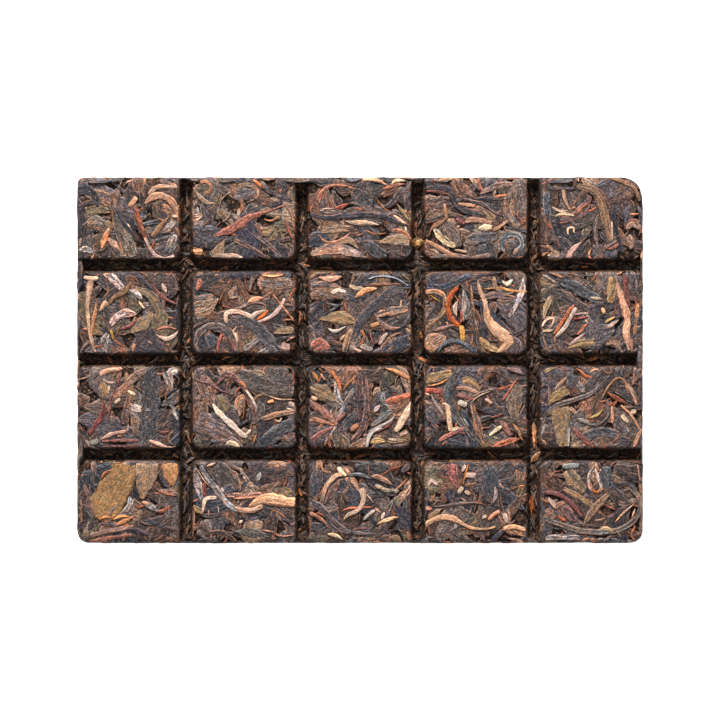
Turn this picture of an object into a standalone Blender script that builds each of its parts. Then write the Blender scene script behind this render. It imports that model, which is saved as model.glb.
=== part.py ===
"""A brick of pressed tea, scored by grooves into a grid of blocks that snap off.

The slab is an uneven rounded oblong. Seven bars with sloping sides press the grooves into its
top and stop short of the rim. Flattened leaves stand out of the blocks and of the side walls
in low relief, and are fused to the slab. Metres, +Z up, origin at the middle of the underside.
"""

import math
import random

import bmesh
import bpy
from mathutils import Vector, noise

MM = 0.001
LENGTH = 149.4 * MM  # of the slab along X, side leaves left out
WIDTH = 96.6 * MM
THICKNESS = 8.0 * MM
EDGE_ROUND = 1.1 * MM
CORNERS = {  # direction of each corner, and its radius
    (1, 1): 5.5 * MM,
    (-1, 1): 1.7 * MM,
    (-1, -1): 3.0 * MM,
    (1, -1): 3.2 * MM,
}
ARC_STEPS = 5
SIDE_STEP = 6.0 * MM
UNEVEN = 0.6 * MM
UNEVEN_LENGTH = 11.0 * MM  # of one wave along the walls

COLUMN_PITCH = 30.6 * MM
ROW_PITCH = 25.0 * MM
COLUMNS = 5
ROWS = 4
GROOVE_WAYS = (("row", LENGTH, ROW_PITCH, ROWS), ("column", WIDTH, COLUMN_PITCH, COLUMNS))
GROOVE_DEPTH = 3.5 * MM
GROOVE_TOP = 4.3 * MM
GROOVE_WALL_TOP = 3.4 * MM  # the width where the wall meets the rounded lip
GROOVE_FLOOR = 1.9 * MM
LIP = 0.6 * MM  # height of the rounded lip
RIM = 1.3 * MM  # left standing past a groove's end
RIM_DROP = 1.2 * MM  # how far the rim lies below the block tops
RIM_FLOOR = 2.2 * MM  # widths of the dip in the rim, narrower than the groove
RIM_WALL_TOP = 2.9 * MM
RIM_TOP = 3.7 * MM
RIM_DIP_REACH = 3.0 * MM  # the dip's bar runs out past the slab
CUTTER_RISE = 2.0 * MM
CUTTER_FLARE = 0.1 * MM

LEAVES_PER_BLOCK = 6
BLOCK_MARGIN = 2.8 * MM  # from a groove's middle line to the end of a leaf
LEAF_SPREAD_MARGIN = 4.5 * MM
LEAF_HALF_LENGTH = (3.5 * MM, 9.0 * MM)
LEAF_WIDTH = (1.6 * MM, 3.8 * MM)
LEAF_RISE = (0.18 * MM, 0.4 * MM)
LEAF_SUNK = 0.5 * MM
LEAF_TIP = 0.35  # width at the tips, as a share of the widest
TIP_DIP = 0.3 * MM
LEAF_SEGMENTS = 5
LEAF_SHORTEST_STEP = 0.5 * MM
LEAF_FEWEST_POINTS = 4
LEAF_BEND = 1.4  # radians turned along one leaf
SIDE_LEAVES = 26
SIDE_LENGTHS = (3, 4, 5)  # in outline steps
SIDE_LOW = 0.5 * MM
SIDE_SLOPE = 0.7 * MM  # climbed over one outline step
SEED = 7
GOLDEN = (math.sqrt(5) - 1) / 2

LEAF_BROWN = (0.075, 0.045, 0.035, 1.0)


def clear_scene():
    for found in list(bpy.data.objects):
        bpy.data.objects.remove(found, do_unlink=True)


def tea_material():
    made = bpy.data.materials.new("pressed_tea")
    made.use_nodes = True
    shader = made.node_tree.nodes["Principled BSDF"]
    shader.inputs["Base Color"].default_value = LEAF_BROWN
    shader.inputs["Roughness"].default_value = 0.7
    shader.inputs["Metallic"].default_value = 0.0
    return made


def new_collection(name):
    made = bpy.data.collections.new(name)
    bpy.context.scene.collection.children.link(made)
    return made


def corner_centres():
    for number, ((side_x, side_y), radius) in enumerate(CORNERS.items()):
        centre = Vector((side_x * (LENGTH / 2 - radius), side_y * (WIDTH / 2 - radius)))
        yield centre, radius, number * math.pi / 2


def wavered(point, outward):
    """The wall bulges and falls back a little, as packed leaf does."""
    wave = noise.noise(Vector((point.x, point.y, THICKNESS)) / UNEVEN_LENGTH)
    return point + outward * UNEVEN * wave


def outline():
    """Points and outward directions round the slab, anticlockwise, corners as arcs."""
    found = []
    for centre, radius, start in corner_centres():
        for step in range(ARC_STEPS + 1):
            angle = start + math.pi / 2 * step / ARC_STEPS
            outward = Vector((math.cos(angle), math.sin(angle)))
            found.append((centre + outward * radius, outward))
    filled = []
    for (here, outward), (there, _) in zip(found, found[1:] + found[:1]):
        steps = max(1, round((there - here).length / SIDE_STEP))
        for step in range(steps):
            filled.append((here.lerp(there, step / steps), outward))
    return [(wavered(point, outward), outward) for point, outward in filled]


def flat_curve(name, points, half_height, collection):
    """A filled closed outline, extruded both ways."""
    curve = bpy.data.curves.new(name, "CURVE")
    curve.dimensions = "2D"
    curve.fill_mode = "BOTH"
    curve.extrude = half_height
    spline = curve.splines.new("POLY")
    spline.points.add(len(points) - 1)
    for place, (x, y) in zip(spline.points, points):
        place.co = (x, y, 0, 1)
    spline.use_cyclic_u = True
    made = bpy.data.objects.new(name, curve)
    collection.objects.link(made)
    return made


def as_mesh(curve_object, collection):
    """The curve's own shape as a welded mesh, in its place."""
    graph = bpy.context.evaluated_depsgraph_get()
    mesh = bpy.data.meshes.new_from_object(curve_object.evaluated_get(graph))
    work = bmesh.new()
    work.from_mesh(mesh)
    bmesh.ops.remove_doubles(work, verts=work.verts, dist=0.00001)
    bmesh.ops.recalc_face_normals(work, faces=work.faces)
    work.to_mesh(mesh)
    work.free()
    name = curve_object.name
    matrix = curve_object.matrix_world.copy()
    bpy.data.objects.remove(curve_object, do_unlink=True)
    made = bpy.data.objects.new(name, mesh)
    made.matrix_world = matrix
    collection.objects.link(made)
    return made


def slab(collection):
    points = [tuple(point) for point, _ in outline()]
    made = flat_curve("tea_brick", points, THICKNESS / 2 - EDGE_ROUND, collection)
    made.data.bevel_depth = EDGE_ROUND
    made.data.bevel_resolution = 1
    made.data.offset = -EDGE_ROUND
    made.location.z = THICKNESS / 2
    bpy.context.view_layer.update()
    return as_mesh(made, collection)


def groove_profile(depth, floor, wall_top, top):
    """Section of a bar: floor, sloping walls, then rounded lips that flare out."""
    half = [
        (floor / 2, -depth),
        (wall_top / 2, -LIP),
        (wall_top * 0.2 + top * 0.3, -LIP * 0.3),
        (top / 2, LIP * 0.3),
        (top / 2 + CUTTER_FLARE, CUTTER_RISE),
    ]
    return half + [(-x, z) for x, z in reversed(half)]


def groove_bar(name, profile, reach, along_x, offset, collection):
    """A bar of that section. A flat curve extrudes along Z, so it is turned to lie along X or Y."""
    made = flat_curve(name, profile, reach, collection)
    made.rotation_euler = (math.pi / 2, 0, math.pi / 2 if along_x else 0)
    made.location = (0, offset, THICKNESS) if along_x else (offset, 0, THICKNESS)
    bpy.context.view_layer.update()
    bar = as_mesh(made, collection)
    bar.hide_render = True
    bar.display_type = "WIRE"


def groove_bars(collection):
    deep = groove_profile(GROOVE_DEPTH, GROOVE_FLOOR, GROOVE_WALL_TOP, GROOVE_TOP)
    shallow = groove_profile(RIM_DROP, RIM_FLOOR, RIM_WALL_TOP, RIM_TOP)
    for way, length, pitch, count in GROOVE_WAYS:
        along_x = way == "row"
        for number in range(1, count):
            offset = (number - count / 2) * pitch
            end = length / 2 - RIM
            groove_bar(f"{way}_bar_{number}", deep, end, along_x, offset, collection)
            past_end = length / 2 + RIM_DIP_REACH
            groove_bar(f"{way}_rim_bar_{number}", shallow, past_end, along_x, offset, collection)


def leaf_section():
    """The flattened section, one unit wide and two high, that every leaf is swept with."""
    section = [(-0.5, 0.0), (-0.28, 1.0), (0.28, 1.0), (0.5, 0.0), (0.28, -1.0), (-0.28, -1.0)]
    curve = bpy.data.curves.new("leaf_section", "CURVE")
    curve.dimensions = "2D"
    spline = curve.splines.new("POLY")
    spline.points.add(len(section) - 1)
    for place, (x, y) in zip(spline.points, section):
        place.co = (x, y, 0, 1)
    spline.use_cyclic_u = True
    made = bpy.data.objects.new("leaf_section", curve)
    made.hide_render = True
    made.display_type = "WIRE"
    bpy.context.scene.collection.objects.link(made)
    return made


def swept_leaf(name, route, size, tilt, section, collection):
    """A leaf swept along its route, widest near the middle; the tilt turns its flat side."""
    curve = bpy.data.curves.new(name, "CURVE")
    curve.dimensions = "3D"
    curve.twist_mode = "Z_UP"
    curve.use_fill_caps = True
    spline = curve.splines.new("POLY")
    spline.points.add(len(route) - 1)
    for step, (place, point) in enumerate(zip(spline.points, route)):
        place.co = (*point, 1)
        place.tilt = tilt
        place.radius = LEAF_TIP + (1 - LEAF_TIP) * math.sin(math.pi * (step + 0.5) / len(route))
    curve.bevel_mode = "OBJECT"
    section.scale = (*size, 1)
    curve.bevel_object = section
    made = bpy.data.objects.new(name, curve)
    collection.objects.link(made)
    bpy.context.view_layer.update()
    return as_mesh(made, collection)


def block_centres():
    for row in range(ROWS):
        for column in range(COLUMNS):
            x = (column - (COLUMNS - 1) / 2) * COLUMN_PITCH
            y = (row - (ROWS - 1) / 2) * ROW_PITCH
            yield column, row, Vector((x, y))


def leaf_size(number, draw):
    """Width and half thickness of a leaf, and how far it stands out, unlike its neighbours."""
    low, high = LEAF_RISE
    rise = low + (high - low) * (number * GOLDEN % 1)
    return (draw.uniform(*LEAF_WIDTH), (rise + LEAF_SUNK) / 2), rise


def top_route(middle, spot, draw, z):
    """A curved route over a block's top, kept inside its edges, with both tips tucked in."""
    half_length = draw.uniform(*LEAF_HALF_LENGTH)
    turn = draw.uniform(0, math.pi)
    bend = draw.uniform(-LEAF_BEND, LEAF_BEND)
    reach = Vector((COLUMN_PITCH / 2 - BLOCK_MARGIN, ROW_PITCH / 2 - BLOCK_MARGIN))
    point = spot - Vector((math.cos(turn), math.sin(turn))) * half_length
    route = []
    for step in range(LEAF_SEGMENTS + 1):
        kept = Vector((max(-reach.x, min(reach.x, point.x)), max(-reach.y, min(reach.y, point.y))))
        tucked = TIP_DIP * (2 * step / LEAF_SEGMENTS - 1) ** 4
        place = (middle.x + kept.x, middle.y + kept.y, z - tucked)
        if not route or (Vector(place) - Vector(route[-1])).length > LEAF_SHORTEST_STEP:
            route.append(place)
        heading = turn + bend * (step / LEAF_SEGMENTS - 0.5)
        point = point + Vector((math.cos(heading), math.sin(heading))) * half_length * 2 / LEAF_SEGMENTS
    return route


def top_leaves(section, collection):
    """Leaves lie on every block, their middles spread over it by the golden ratio."""
    spread = Vector((COLUMN_PITCH, ROW_PITCH)) - Vector((1, 1)) * LEAF_SPREAD_MARGIN * 2
    for column, row, middle in block_centres():
        draw = random.Random(f"{SEED} {column} {row}")
        phase = draw.random()
        for number in range(LEAVES_PER_BLOCK):
            along = (number + 0.5) / LEAVES_PER_BLOCK - 0.5
            across = (phase + number * GOLDEN) % 1 - 0.5
            spot = Vector((along * spread.x, across * spread.y))
            size, rise = leaf_size(number, draw)
            route = top_route(middle, spot, draw, THICKNESS + rise - size[1])
            if len(route) >= LEAF_FEWEST_POINTS:
                swept_leaf(f"top_leaf_{column}_{row}_{number}", route, size, 0.0, section, collection)


def side_leaves(section, collection):
    """Leaves lie along the side walls, following the outline round the corners."""
    rim = outline()
    draw = random.Random(SEED)
    for number in range(SIDE_LEAVES):
        start = number * len(rim) // SIDE_LEAVES
        size, rise = leaf_size(number, draw)
        low = SIDE_LOW + size[0] / 2
        height = draw.uniform(low, THICKNESS - low)
        slope = draw.uniform(-SIDE_SLOPE, SIDE_SLOPE)
        route = []
        for step in range(draw.choice(SIDE_LENGTHS)):
            point, outward = rim[(start + step) % len(rim)]
            place = point + outward * (rise - size[1])
            route.append((place.x, place.y, max(low, min(THICKNESS - low, height + slope * step))))
        swept_leaf(f"side_leaf_{number}", route, size, math.pi / 2, section, collection)


def fuse(brick, leaves):
    """Joins the leaves to the slab in one union, and takes the loose ones away."""
    joined = brick.modifiers.new("fuse_leaves", "BOOLEAN")
    joined.operation = "UNION"
    joined.operand_type = "COLLECTION"
    joined.collection = leaves
    joined.solver = "MANIFOLD"
    graph = bpy.context.evaluated_depsgraph_get()
    mesh = bpy.data.meshes.new_from_object(brick.evaluated_get(graph))
    brick.modifiers.remove(joined)
    brick.data = mesh
    for leaf in list(leaves.objects):
        bpy.data.objects.remove(leaf, do_unlink=True)


def press_grooves(brick, bars):
    pressed = brick.modifiers.new("press_grooves", "BOOLEAN")
    pressed.operation = "DIFFERENCE"
    pressed.operand_type = "COLLECTION"
    pressed.collection = bars


def build():
    clear_scene()
    parts = new_collection("tea_brick")
    bars = new_collection("groove_bars")
    leaves = new_collection("leaves")
    brick = slab(parts)
    section = leaf_section()
    top_leaves(section, leaves)
    side_leaves(section, leaves)
    fuse(brick, leaves)
    bpy.data.objects.remove(section, do_unlink=True)
    groove_bars(bars)
    press_grooves(brick, bars)
    brick.data.materials.clear()
    brick.data.materials.append(tea_material())


build()
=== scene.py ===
import math
import random

import bpy
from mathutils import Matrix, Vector, noise


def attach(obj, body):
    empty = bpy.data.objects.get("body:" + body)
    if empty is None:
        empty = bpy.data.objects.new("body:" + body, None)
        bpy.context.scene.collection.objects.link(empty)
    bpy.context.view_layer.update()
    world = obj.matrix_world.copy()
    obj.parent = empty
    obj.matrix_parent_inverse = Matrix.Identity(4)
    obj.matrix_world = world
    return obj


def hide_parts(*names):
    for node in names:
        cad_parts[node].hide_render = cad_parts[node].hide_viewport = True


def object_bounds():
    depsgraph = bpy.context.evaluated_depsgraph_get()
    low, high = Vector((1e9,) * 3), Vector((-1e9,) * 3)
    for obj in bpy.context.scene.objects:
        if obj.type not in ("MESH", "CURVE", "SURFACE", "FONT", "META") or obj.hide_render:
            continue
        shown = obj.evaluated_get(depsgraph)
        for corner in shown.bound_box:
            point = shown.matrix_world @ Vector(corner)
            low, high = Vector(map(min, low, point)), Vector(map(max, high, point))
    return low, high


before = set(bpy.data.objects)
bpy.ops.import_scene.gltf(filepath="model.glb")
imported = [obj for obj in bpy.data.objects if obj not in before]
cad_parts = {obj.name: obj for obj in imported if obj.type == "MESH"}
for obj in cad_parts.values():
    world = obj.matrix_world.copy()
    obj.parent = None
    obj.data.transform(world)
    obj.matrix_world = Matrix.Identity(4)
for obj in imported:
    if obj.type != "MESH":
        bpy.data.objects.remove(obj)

cad_low, cad_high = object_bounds()

# The studio
# The brick lies on a pale table and is seen from straight above through a long lens. One broad
# soft light stands beyond its far side, so the groove walls that face away from it are dark.
MM = 0.001
CAMERA_HEIGHT = 1.1
CAMERA_OFF_CENTRE = (0.02 * MM, 0.05 * MM)
MIDDLE_HEIGHT = 4 * MM
PICTURE_WIDTH = 190.8 * MM  # what the picture takes in at the brick's middle height
SENSOR = 36.0
LIGHT_PLACE = (-0.12, 0.78, 0.44)
LIGHT_SIZE = 0.30
LIGHT_POWER = 22.0
SKY_COLOUR = (0.97, 1.0, 1.05, 1.0)
SKY_STRENGTH = 0.60


def aimed_at_brick(thing, place):
    thing.location = place
    thing.rotation_euler = (-Vector(place)).to_track_quat("-Z", "Y").to_euler()
    bpy.context.scene.collection.objects.link(thing)


def soft_light(name, place, size, power):
    light = bpy.data.lights.new(name, "AREA")
    light.shape = "DISK"
    light.size = size
    light.energy = power
    aimed_at_brick(bpy.data.objects.new(name, light), place)


lens = bpy.data.cameras.new("camera")
lens.sensor_width = SENSOR
lens.lens = SENSOR * (CAMERA_HEIGHT - MIDDLE_HEIGHT) / PICTURE_WIDTH
lens.clip_start = 0.05
lens.clip_end = 20.0
camera = bpy.data.objects.new("camera", lens)
camera.location = (*CAMERA_OFF_CENTRE, CAMERA_HEIGHT)
bpy.context.scene.collection.objects.link(camera)
bpy.context.scene.camera = camera

soft_light("far_softbox", LIGHT_PLACE, LIGHT_SIZE, LIGHT_POWER)
world = bpy.data.worlds.new("studio")
world.use_nodes = True
world.node_tree.nodes["Background"].inputs["Color"].default_value = SKY_COLOUR
world.node_tree.nodes["Background"].inputs["Strength"].default_value = SKY_STRENGTH
bpy.context.scene.world = world
bpy.context.scene.view_settings.view_transform = "Standard"


# The pressed mass
# Damp leaf is pressed hard in a mould, so the brick is one solid of dark crushed tea. Seven bars
# in the mould's lid press the grooves, which stop at a low rim. This is the mass below the leaves.
LENGTH = 149.4 * MM
WIDTH = 96.6 * MM
THICKNESS = 8.0 * MM
EDGE_ROUND = 1.1 * MM
CORNER_RADII = {(1, 1): 5.5 * MM, (-1, 1): 1.7 * MM, (-1, -1): 3.0 * MM, (1, -1): 3.2 * MM}
COLUMN_PITCH = 30.6 * MM
ROW_PITCH = 25.0 * MM
COLUMNS = 5
ROWS = 4
FAR_COLUMN = COLUMN_PITCH * (COLUMNS - 1) / 2
FAR_ROW = ROW_PITCH * (ROWS - 1) / 2
GROOVE_DEPTH = 3.5 * MM
GROOVE_TOP = 4.3 * MM
LIP_RUN = 0.45 * MM
WALL_RUN = 1.2 * MM
LIP = 0.6 * MM
BLOCK_CORNER = 1.7 * MM
RIM = 1.3 * MM
RIM_DROP = 1.2 * MM
RIM_SLOPE = 0.6 * MM
WAVER = 0.35 * MM
WAVER_SCALE = 110.0
MASS_SUNK = 0.36 * MM
UNDERSIDE_SUNK = 1.3  # the underside is sunk this many times as far, so its leaves stand clear
MASS_STEP = 0.66 * MM
MASS_LAYERS = 8
MASS_GATHER = 0.55  # how much closer the mesh's lines stand at the grooves
CRUSHED_RELIEF = 0.4 * MM
CRUSHED_SCALE = 1000.0
CRUSHED_BUMP = 0.4 * MM
TINT_SCALE = 0.6  # the share of a tint that is the leaf's own, for this much light


class Value:
    """A socket that Python's operators work on: each one adds a Math node to the socket's tree."""

    def __init__(self, nodes, socket):
        self.nodes = nodes
        self.socket = socket

    def math(self, operation, *others):
        return self.nodes.add("ShaderNodeMath", {"operation": operation}, [self, *others])

    def outlet(self, name):
        return Value(self.nodes, self.socket.node.outputs[name])

    def __add__(self, other):
        return self.math("ADD", other)

    def __radd__(self, other):
        return self.math("ADD", other)

    def __sub__(self, other):
        return self.math("SUBTRACT", other)

    def __rsub__(self, other):
        return self.nodes.add("ShaderNodeMath", {"operation": "SUBTRACT"}, [other, self])

    def __mul__(self, other):
        return self.math("MULTIPLY", other)

    def __rmul__(self, other):
        return self.math("MULTIPLY", other)

    def __truediv__(self, other):
        return self.math("DIVIDE", other)

    def __rtruediv__(self, other):
        return self.nodes.add("ShaderNodeMath", {"operation": "DIVIDE"}, [other, self])

    def __pow__(self, other):
        return self.math("POWER", other)

    def __abs__(self):
        return self.math("ABSOLUTE")

    def at_least(self, other):
        return self.math("MAXIMUM", other)

    def at_most(self, other):
        return self.math("MINIMUM", other)

    def held(self, low=0.0, high=1.0):
        return self.at_least(low).at_most(high)

    def ramped(self, start, end):
        """0 at start, 1 at end, straight between them and level outside."""
        return ((self - start) / (end - start)).held()

    def root(self):
        return self.at_least(0.0).math("SQRT")

    def sign(self):
        return self.math("SIGN")

    def over(self, other):
        return self.math("GREATER_THAN", other)


class Nodes:
    """Adds nodes to one tree."""

    def __init__(self, tree):
        self.tree = tree

    def add(self, kind, settings=None, feeds=(), outlet=0):
        """One node: its settings first, then the values or links of its sockets, in order or by name."""
        node = self.tree.nodes.new(kind)
        for name, setting in (settings or {}).items():
            if name == "stops":
                self.set_stops(node.color_ramp, setting)
            else:
                setattr(node, name, setting)
        pairs = feeds.items() if isinstance(feeds, dict) else enumerate(feeds)
        for key, feed in pairs:
            if isinstance(feed, Value):
                self.tree.links.new(feed.socket, node.inputs[key])
            else:
                node.inputs[key].default_value = feed
        return Value(self, node.outputs[outlet])

    def set_stops(self, ramp, stops):
        while len(ramp.elements) < len(stops):
            ramp.elements.new(0.5)
        for element, (place, colour) in zip(ramp.elements, stops):
            element.position = place
            element.color = colour

    def vector(self, operation, *feeds, outlet=0):
        return self.add("ShaderNodeVectorMath", {"operation": operation}, feeds, outlet)

    def scaled(self, vector, factor):
        return self.add("ShaderNodeVectorMath", {"operation": "SCALE"}, {"Vector": vector, "Scale": factor})

    def joined(self, x, y, z):
        return self.add("ShaderNodeCombineXYZ", feeds=[x, y, z])

    def split(self, vector):
        parts = self.add("ShaderNodeSeparateXYZ", feeds=[vector])
        return parts, parts.outlet("Y"), parts.outlet("Z")

    def noise(self, place, scale, detail=2.0, rough=0.5, warp=0.0):
        feeds = {"Vector": place, "Scale": scale, "Detail": detail, "Roughness": rough, "Distortion": warp}
        return self.add("ShaderNodeTexNoise", {"noise_dimensions": "3D"}, feeds)

    def blend(self, share, first, second, way="MIX"):
        """A Mix node for colours."""
        settings = {"data_type": "RGBA", "blend_type": way, "clamp_factor": True}
        return self.add("ShaderNodeMix", settings, {0: share, 6: first, 7: second}, outlet=2)

    def attribute(self, name, kind="FLOAT"):
        """A named attribute, read in a geometry tree."""
        return self.add("GeometryNodeInputNamedAttribute", {"data_type": kind}, {"Name": name})

    def stored(self, geometry, name, value, kind="FLOAT"):
        settings = {"data_type": kind, "domain": "POINT"}
        feeds = {"Geometry": geometry, "Name": name, "Value": value}
        return self.add("GeometryNodeStoreNamedAttribute", settings, feeds)

    def close(self, geometry, material):
        """Realized, smooth and given its material: how every geometry tree here ends."""
        real = self.add("GeometryNodeRealizeInstances", feeds=[geometry])
        smooth = self.add("GeometryNodeSetShadeSmooth", feeds={"Geometry": real, "Shade Smooth": True})
        dressed = self.add("GeometryNodeSetMaterial", feeds={"Geometry": smooth, "Material": material})
        self.tree.links.new(dressed.socket, self.tree.nodes.new("NodeGroupOutput").inputs[0])


def tint(red, green, blue):
    """A tea colour from how it looks on the lit top, 0 to 255."""
    def linear(level):
        level = level / 255
        return level / 12.92 if level < 0.04045 else ((level + 0.055) / 1.055) ** 2.4
    return tuple(linear(level) * TINT_SCALE for level in (red, green, blue)) + (1.0,)


def geometry_tree(name, inputs):
    """An empty geometry tree with named inputs: (name, socket type, default)."""
    tree = bpy.data.node_groups.new(name, "GeometryNodeTree")
    tree.interface.new_socket("Geometry", in_out="INPUT", socket_type="NodeSocketGeometry")
    for label, kind, default in inputs:
        made = tree.interface.new_socket(label, in_out="INPUT", socket_type=kind)
        if default is not None:
            made.default_value = default
    tree.interface.new_socket("Geometry", in_out="OUTPUT", socket_type="NodeSocketGeometry")
    nodes = Nodes(tree)
    return nodes, nodes.add("NodeGroupInput")


def plain_piece(name, mesh, tree, settings):
    """Runs a geometry tree on a mesh and keeps the result as a plain mesh object at the origin."""
    holder = bpy.data.objects.new(name + "_source", mesh)
    bpy.context.scene.collection.objects.link(holder)
    modifier = holder.modifiers.new("press", "NODES")
    modifier.node_group = tree
    for item in tree.interface.items_tree:
        if item.item_type == "SOCKET" and item.in_out == "INPUT" and item.name in settings:
            modifier[item.identifier] = settings[item.name]
    graph = bpy.context.evaluated_depsgraph_get()
    result = bpy.data.meshes.new_from_object(
        holder.evaluated_get(graph), preserve_all_data_layers=True, depsgraph=graph
    )
    bpy.data.objects.remove(holder)
    piece = bpy.data.objects.new(name, result)
    bpy.context.scene.collection.objects.link(piece)
    return piece


def outline_held(nodes, x, y, inset):
    """Pulls a place back inside the rounded outline. Gives x, y and the distance to the edge."""
    right = x.over(0.0)
    back = y.over(0.0)
    radius = 0.0
    for (side_x, side_y), size in CORNER_RADII.items():
        along_x = right if side_x > 0 else 1 - right
        along_y = back if side_y > 0 else 1 - back
        radius = along_x * along_y * size + radius
    place = nodes.joined(x, y, 0.0)
    waver = (nodes.noise(place, WAVER_SCALE, detail=1.0) - 0.5) * (2 * WAVER)
    core_x = abs(x).at_most(LENGTH / 2 - radius)
    core_y = abs(y).at_most(WIDTH / 2 - radius)
    out_x = abs(x) - core_x
    out_y = abs(y) - core_y
    reach = (out_x * out_x + out_y * out_y).root().at_least(1e-7)
    allowed = radius + waver - inset
    keep = (allowed / reach).at_most(1.0)
    held_x = x.sign() * (core_x + out_x * keep)
    held_y = y.sign() * (core_y + out_y * keep)
    further_in = (LENGTH / 2 - radius - abs(x)).at_most(WIDTH / 2 - radius - abs(y)).at_least(0.0)
    return held_x, held_y, radius + waver - reach * keep + further_in


def lip_reach(u, v):
    """From a block's middle: the inner corner that rounds it, the way out from there, and how far."""
    core_u = abs(u).at_most(COLUMN_PITCH / 2 - GROOVE_TOP / 2 - BLOCK_CORNER)
    core_v = abs(v).at_most(ROW_PITCH / 2 - GROOVE_TOP / 2 - BLOCK_CORNER)
    out_u = abs(u) - core_u
    out_v = abs(v) - core_v
    return core_u, core_v, out_u, out_v, (out_u * out_u + out_v * out_v).root().at_least(1e-7)


def edge_drop(edge):
    """How far the rounded edge has fallen at that distance from the outline."""
    left = EDGE_ROUND - edge.held(0.0, EDGE_ROUND)
    return EDGE_ROUND - (EDGE_ROUND * EDGE_ROUND - left * left).root()


def groove_depth(x, y, edge):
    """How deep the mould's bars pressed at a place: a rounded lip, a steep wall and a flat floor.
    Also gives how far the place is past the start of the lip."""
    u = ((x.held(-FAR_COLUMN, FAR_COLUMN) / COLUMN_PITCH + COLUMNS / 2).math("FRACT") - 0.5) * COLUMN_PITCH
    v = ((y.held(-FAR_ROW, FAR_ROW) / ROW_PITCH + ROWS / 2).math("FRACT") - 0.5) * ROW_PITCH
    past = lip_reach(u, v)[-1] - BLOCK_CORNER
    lip = past.ramped(0.0, LIP_RUN)
    depth = lip * lip * LIP + past.ramped(LIP_RUN, WALL_RUN) * (GROOVE_DEPTH - LIP)
    deepest = edge.ramped(RIM, RIM + RIM_SLOPE) * (GROOVE_DEPTH - RIM_DROP) + RIM_DROP
    return depth.at_most(deepest), past


def gathered(place, far, pitch, phase):
    """Shifts the lines of an even mesh toward the grooves."""
    turns = place.held(-far, far) * (math.tau / pitch)
    return place + (turns + phase).math("SINE") * (MASS_GATHER * pitch / math.tau)


def mass_tree():
    inputs = [("Sunk", "NodeSocketFloat", MASS_SUNK), ("Relief", "NodeSocketFloat", CRUSHED_RELIEF)]
    inputs.append(("Material", "NodeSocketMaterial", None))
    nodes, given = geometry_tree("pressed_mass", inputs)
    block = nodes.add("GeometryNodeMeshCube", feeds={
        "Size": (LENGTH, WIDTH, THICKNESS),
        "Vertices X": round(LENGTH / MASS_STEP),
        "Vertices Y": round(WIDTH / MASS_STEP),
        "Vertices Z": MASS_LAYERS,
    })
    place = nodes.add("GeometryNodeInputPosition")
    x, y, z = nodes.split(place)
    sunk = given.outlet("Sunk")
    x = gathered(x, FAR_COLUMN, COLUMN_PITCH, 0.0)
    y = gathered(y, FAR_ROW, ROW_PITCH, math.pi)
    x, y, edge = outline_held(nodes, x, y, sunk)
    crushed = nodes.noise(place, CRUSHED_SCALE, detail=3.0) * given.outlet("Relief")
    depth, _ = groove_depth(x, y, edge - sunk)
    top = THICKNESS - depth - edge_drop(edge - sunk) - sunk - crushed
    bottom = edge_drop(edge - sunk) + sunk * UNDERSIDE_SUNK
    share = z / THICKNESS + 0.5
    moved = nodes.joined(x, y, bottom + (top - bottom) * share)
    shaped = nodes.add("GeometryNodeSetPosition", feeds={"Geometry": block, "Position": moved})
    nodes.close(shaped, given.outlet("Material"))
    return nodes.tree


def new_finish(name):
    made = bpy.data.materials.new(name)
    made.use_nodes = True
    return made, Nodes(made.node_tree), made.node_tree.nodes["Principled BSDF"]


def dress(nodes, shader, **values):
    """Links or sets sockets of the shader: base_color is Base Color."""
    by_name = {socket.name.lower().replace(" ", "_"): socket for socket in shader.inputs}
    for name, value in values.items():
        socket = by_name[name]
        if isinstance(value, Value):
            nodes.tree.links.new(value.socket, socket)
        else:
            socket.default_value = value


def mass_finish():
    """Crushed leaf: near black, with specks and crumbs of brown and rust."""
    made, nodes, shader = new_finish("crushed_tea")
    place = nodes.add("ShaderNodeTexCoord", outlet="Object")
    coarse = nodes.noise(place, 900.0, detail=4.0, rough=0.7)
    fine = nodes.noise(place, 1500.0, detail=2.0)
    stops = [
        (0.3, tint(14, 11, 11)),
        (0.46, tint(34, 27, 24)),
        (0.56, tint(64, 48, 40)),
        (0.68, tint(140, 88, 58)),
    ]
    colour = nodes.add("ShaderNodeValToRGB", {"stops": stops}, [coarse])
    colour = nodes.blend(fine.ramped(0.58, 0.66) * 0.7, colour, tint(150, 108, 80))
    feeds = {"Strength": 0.9, "Distance": CRUSHED_BUMP, "Height": coarse + fine * 0.4}
    bump = nodes.add("ShaderNodeBump", feeds=feeds)
    dress(nodes, shader, base_color=colour, normal=bump, roughness=0.85, specular_ior_level=0.15)
    return made


mass = plain_piece("pressed_mass", bpy.data.meshes.new("seed"), mass_tree(), {"Material": mass_finish()})
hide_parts("tea_brick")
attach(mass, "root")


# Opened leaves
# Most of the skin is leaf that opened flat when it was steamed, then was pressed flush with its
# neighbours: slate to brown, finely creased, its torn edges paler. The dark gaps between are painted shade.
LEAF_STEP = 0.85 * MM
UNDER_POINTS = 3
UNDER_REACH = 0.6  # how far toward its edges a leaf's hidden side reaches
RAGS_PER_METRE = 420
CREASES_ACROSS = 850
FLOW_SCALE = 38
WALL_END = 0.97  # the share of a wall's run where a leaf that runs down it stops
WALL_SQUEEZE = 0.32  # a leaf that runs down a groove's wall covers this share of its length, seen from above
TOP_LIMIT = cad_high[2] - 0.02 * MM
UNDERSIDE_LEVEL = 0.22 * MM
LIP_HIGHLIGHT_BAND = 1.1 * MM  # how far in from its lip a block's leaf gets a painted highlight
PLASTIC_NUMBER = 1.32471795724
PHOTO_WIDTH = 720
BRICK_COLUMN = 359.5  # where the brick's middle shows in the straight-down photograph
BRICK_ROW = 359.8
POINTED = (0.06, 0.6, 0.95, 1.0, 0.9, 0.55, 0.1)  # widths in turn along a strip with two pointed ends
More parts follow.
